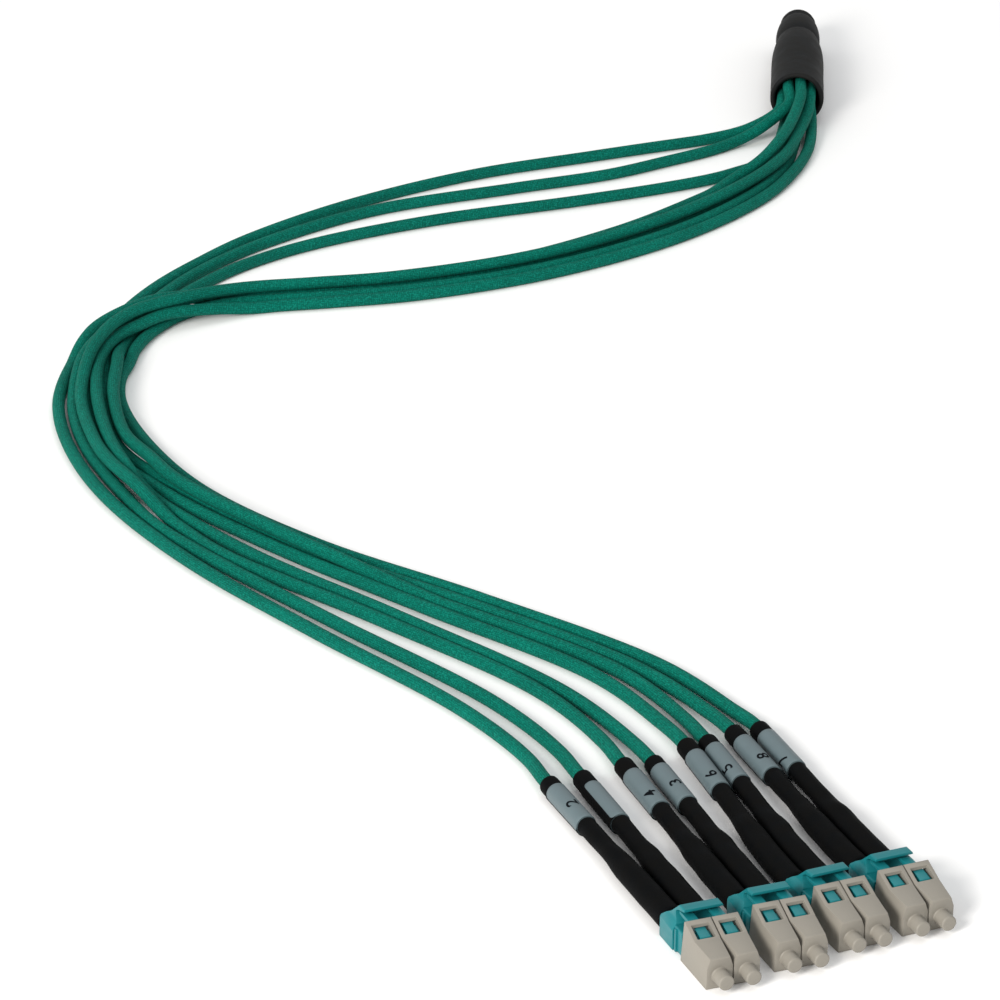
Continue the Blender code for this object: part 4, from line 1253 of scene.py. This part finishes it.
def clip_shape():
    """Duplex clip with the plate that presses both latches."""
    half = CLIP_WIDTH / 2
    base = rounded_profile([
        (-half, 0.0, 0.35), (half, 0.0, 0.35), (half, CLIP_SIDE_TOP, 0.9),
        (half - 0.85, CLIP_TOP, 0.6), (-half + 0.85, CLIP_TOP, 0.6), (-half, CLIP_SIDE_TOP, 0.9),
    ], 0.5)
    plate_half = PLATE_WIDTH / 2
    hips = rounded_profile([
        (-half, 3.0, 0), (half, 3.0, 0), (half, CLIP_SIDE_TOP, 0.9),
        (plate_half + 0.45, 7.0, 1.4), (plate_half, PLATE_TOP, 0.45),
        (-plate_half, PLATE_TOP, 0.45), (-plate_half - 0.45, 7.0, 1.4),
        (-half, CLIP_SIDE_TOP, 0.9),
    ], 0.5)
    behind = CLIP_REAR - 1.5
    back = rounded_profile([
        (behind, 4.0, 0), (CLIP_REAR, 5.2, 0.3), (-23.4, 6.5, 1.2), (-21.7, 7.5, 1.5),
        (PLATE_REAR, PLATE_TOP + 0.02, 0.2), (PLATE_REAR, 13.0, 0), (behind, 13.0, 0),
    ], 0.3)
    ahead = PLATE_FRONT + 0.7
    under_plate = rounded_profile([
        (ahead, 2.0, 0), (-18.0, 2.0, 0), (-18.0, CLIP_TOP + 0.1, 0.5), (-19.3, 7.6, 0.8),
        (-19.6, 8.6, 0.4), (-18.6, PLATE_BOTTOM, 0.4), (PLATE_FRONT, 10.0, 0), (ahead, 10.1, 0),
    ], 0.3)
    nose_half = half - CLIP_NOSE_INSET
    nose = rounded_profile([
        (-nose_half, 0.3), (nose_half, 0.3), (nose_half, CLIP_NOSE_TOP), (-nose_half, CLIP_NOSE_TOP),
    ], 0.4)
    channel = HOUSING_WIDTH / 2 + 0.12
    stem = [(-26.0, 0.0), (-26.0, 1.7), (-22.5, 1.7), (-22.5, 0.0)]
    steps = [
        ("UNION", along(hips, HIP_REAR, PLATE_FRONT), None),
        ("DIFFERENCE", prism(back, CUT_THROUGH), None),
        ("DIFFERENCE", prism(under_plate, CUT_THROUGH), None),
        ("BEVEL", 0.1, None),
        ("UNION", along(nose, -18.5, -14.2), 0.15),
        ("UNION", block((-17.3, -16.6), (-half + 0.1, half - 0.1), (0.3, 5.65)), 0.1),
    ]
    for y in (-PLUG_PITCH / 2, PLUG_PITCH / 2):
        section = plug_section(channel, HOUSING_CHAMFER, y, AXIS_Z)
        steps.append(("DIFFERENCE", along(section, CHANNEL_REAR, -13.0), None))
        stem_hole = moved(turned(stem, 24), Matrix.Translation((0, y, AXIS_Z)))
        steps.append(("DIFFERENCE", stem_hole, None))
    return cut_mesh("clip_shape", along(base, CLIP_REAR, -18.0), steps, 0.35)


class CABLE_OT_connectors(bpy.types.Operator):
    """Make the duplex clips, the plugs and the dust caps"""

    bl_idname = "cable.connectors"
    bl_label = "Duplex connectors"

    def execute(self, context):
        clip, plug, cap = clip_shape(), plug_shape(), cap_shape()
        for unit in DUPLEX_UNITS:
            made = placed(f"clip_{unit}", clip, unit_matrix(unit), "aqua")
            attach(made, "cable")
            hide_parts(f"duplex_clip_{unit}")
        for leg in LEGS:
            made = placed(f"plug_{leg}", plug, plug_matrix(leg), "aqua")
            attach(made, "cable")
            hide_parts(f"lc_plug_{leg}")
            made = placed(f"cap_{leg}_shell", cap, plug_matrix(leg), "cap")
            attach(made, f"cap_{leg}")
            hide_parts(f"dust_cap_{leg}")
            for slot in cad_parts[f"ferrule_{leg}"].material_slots:
                slot.material = finish("ceramic")
        return {"FINISHED"}


# Stage


class CABLE_OT_stage(bpy.types.Operator):
    """Set the pale floor, the soft studio light and the camera"""

    bl_idname = "cable.stage"
    bl_label = "Studio"

    def execute(self, context):
        _, _, studio = settings()
        camera = bpy.data.cameras.new("studio_camera")
        camera.sensor_width = 36.0
        camera.lens = studio.focal_length
        camera.clip_start, camera.clip_end = 0.05, 30.0
        holder = bpy.data.objects.new("studio_camera", camera)
        context.scene.collection.objects.link(holder)
        tilt = Matrix.Rotation(math.pi / 2 - studio.pitch, 4, "X")
        tilt = tilt @ Matrix.Rotation(studio.roll, 4, "Z")
        holder.matrix_world = Matrix.Translation(studio.camera_place) @ tilt
        context.scene.camera = holder

        reach = 6.0
        floor_mesh = bpy.data.meshes.new("studio_floor")
        corners = [(-reach, -reach, 0), (reach, -reach, 0), (reach, reach, 0), (-reach, reach, 0)]
        floor_mesh.from_pydata(corners, [], [[0, 1, 2, 3]])
        floor_mesh.materials.append(finish("floor"))
        floor = bpy.data.objects.new("studio_floor", floor_mesh)
        context.scene.collection.objects.link(floor)

        world = bpy.data.worlds.new("white_surroundings")
        world.use_nodes = True
        background = world.node_tree.nodes["Background"]
        background.inputs["Color"].default_value = (1.0, 1.0, 1.0, 1.0)
        background.inputs["Strength"].default_value = studio.sky
        context.scene.world = world
        context.scene.view_settings.view_transform = "Standard"
        for name, place, width, power, colour in (
            ("key_light", (-0.9, -1.5, 0.8), 0.6, studio.key_power, (1.0, 0.97, 0.93)),
            ("top_light", (0.3, 0.5, 1.7), 1.0, studio.key_power * 0.12, (0.94, 0.98, 1.0)),
        ):
            light = bpy.data.lights.new(name, "AREA")
            light.energy = power
            light.color = colour
            light.size = width
            lamp = bpy.data.objects.new(name, light)
            context.scene.collection.objects.link(lamp)
            lamp.location = place
            to_middle = -Vector(place)
            lamp.rotation_euler = to_middle.to_track_quat("-Z", "Y").to_euler()
        return {"FINISHED"}


class CABLE_PT_panel(bpy.types.Panel):
    """Sizes, colours and steps of the fan-out cable"""

    bl_idname = "CABLE_PT_panel"
    bl_label = "Fan-out Cable"
    bl_space_type = "VIEW_3D"
    bl_region_type = "UI"
    bl_category = "Fan-out Cable"

    def draw(self, context):
        layout = self.layout
        for group in settings():
            box = layout.box()
            for name in group.__annotations__:
                box.prop(group, name)
        for operator in OPERATORS:
            layout.operator(operator.bl_idname)


OPERATORS = (
    CABLE_OT_stage, CABLE_OT_legs, CABLE_OT_boot, CABLE_OT_tubes, CABLE_OT_sleeves,
    CABLE_OT_connectors,
)
GROUPS = {"cable_sizes": CableSizes, "cable_colours": CableColours, "cable_studio": StudioSettings}


def register():
    for name, group in GROUPS.items():
        bpy.utils.register_class(group)
        setattr(bpy.types.Scene, name, bpy.props.PointerProperty(type=group))
    for cls in (*OPERATORS, CABLE_PT_panel):
        bpy.utils.register_class(cls)


def unregister():
    for cls in reversed((*OPERATORS, CABLE_PT_panel)):
        bpy.utils.unregister_class(cls)
    for name, group in GROUPS.items():
        delattr(bpy.types.Scene, name)
        bpy.utils.unregister_class(group)


def main():
    register()
    bpy.ops.cable.stage()
    bpy.ops.cable.legs()
    bpy.ops.cable.boot()
    bpy.ops.cable.tubes()
    bpy.ops.cable.sleeves()
    bpy.ops.cable.connectors()


if __name__ == "__main__":
    main()
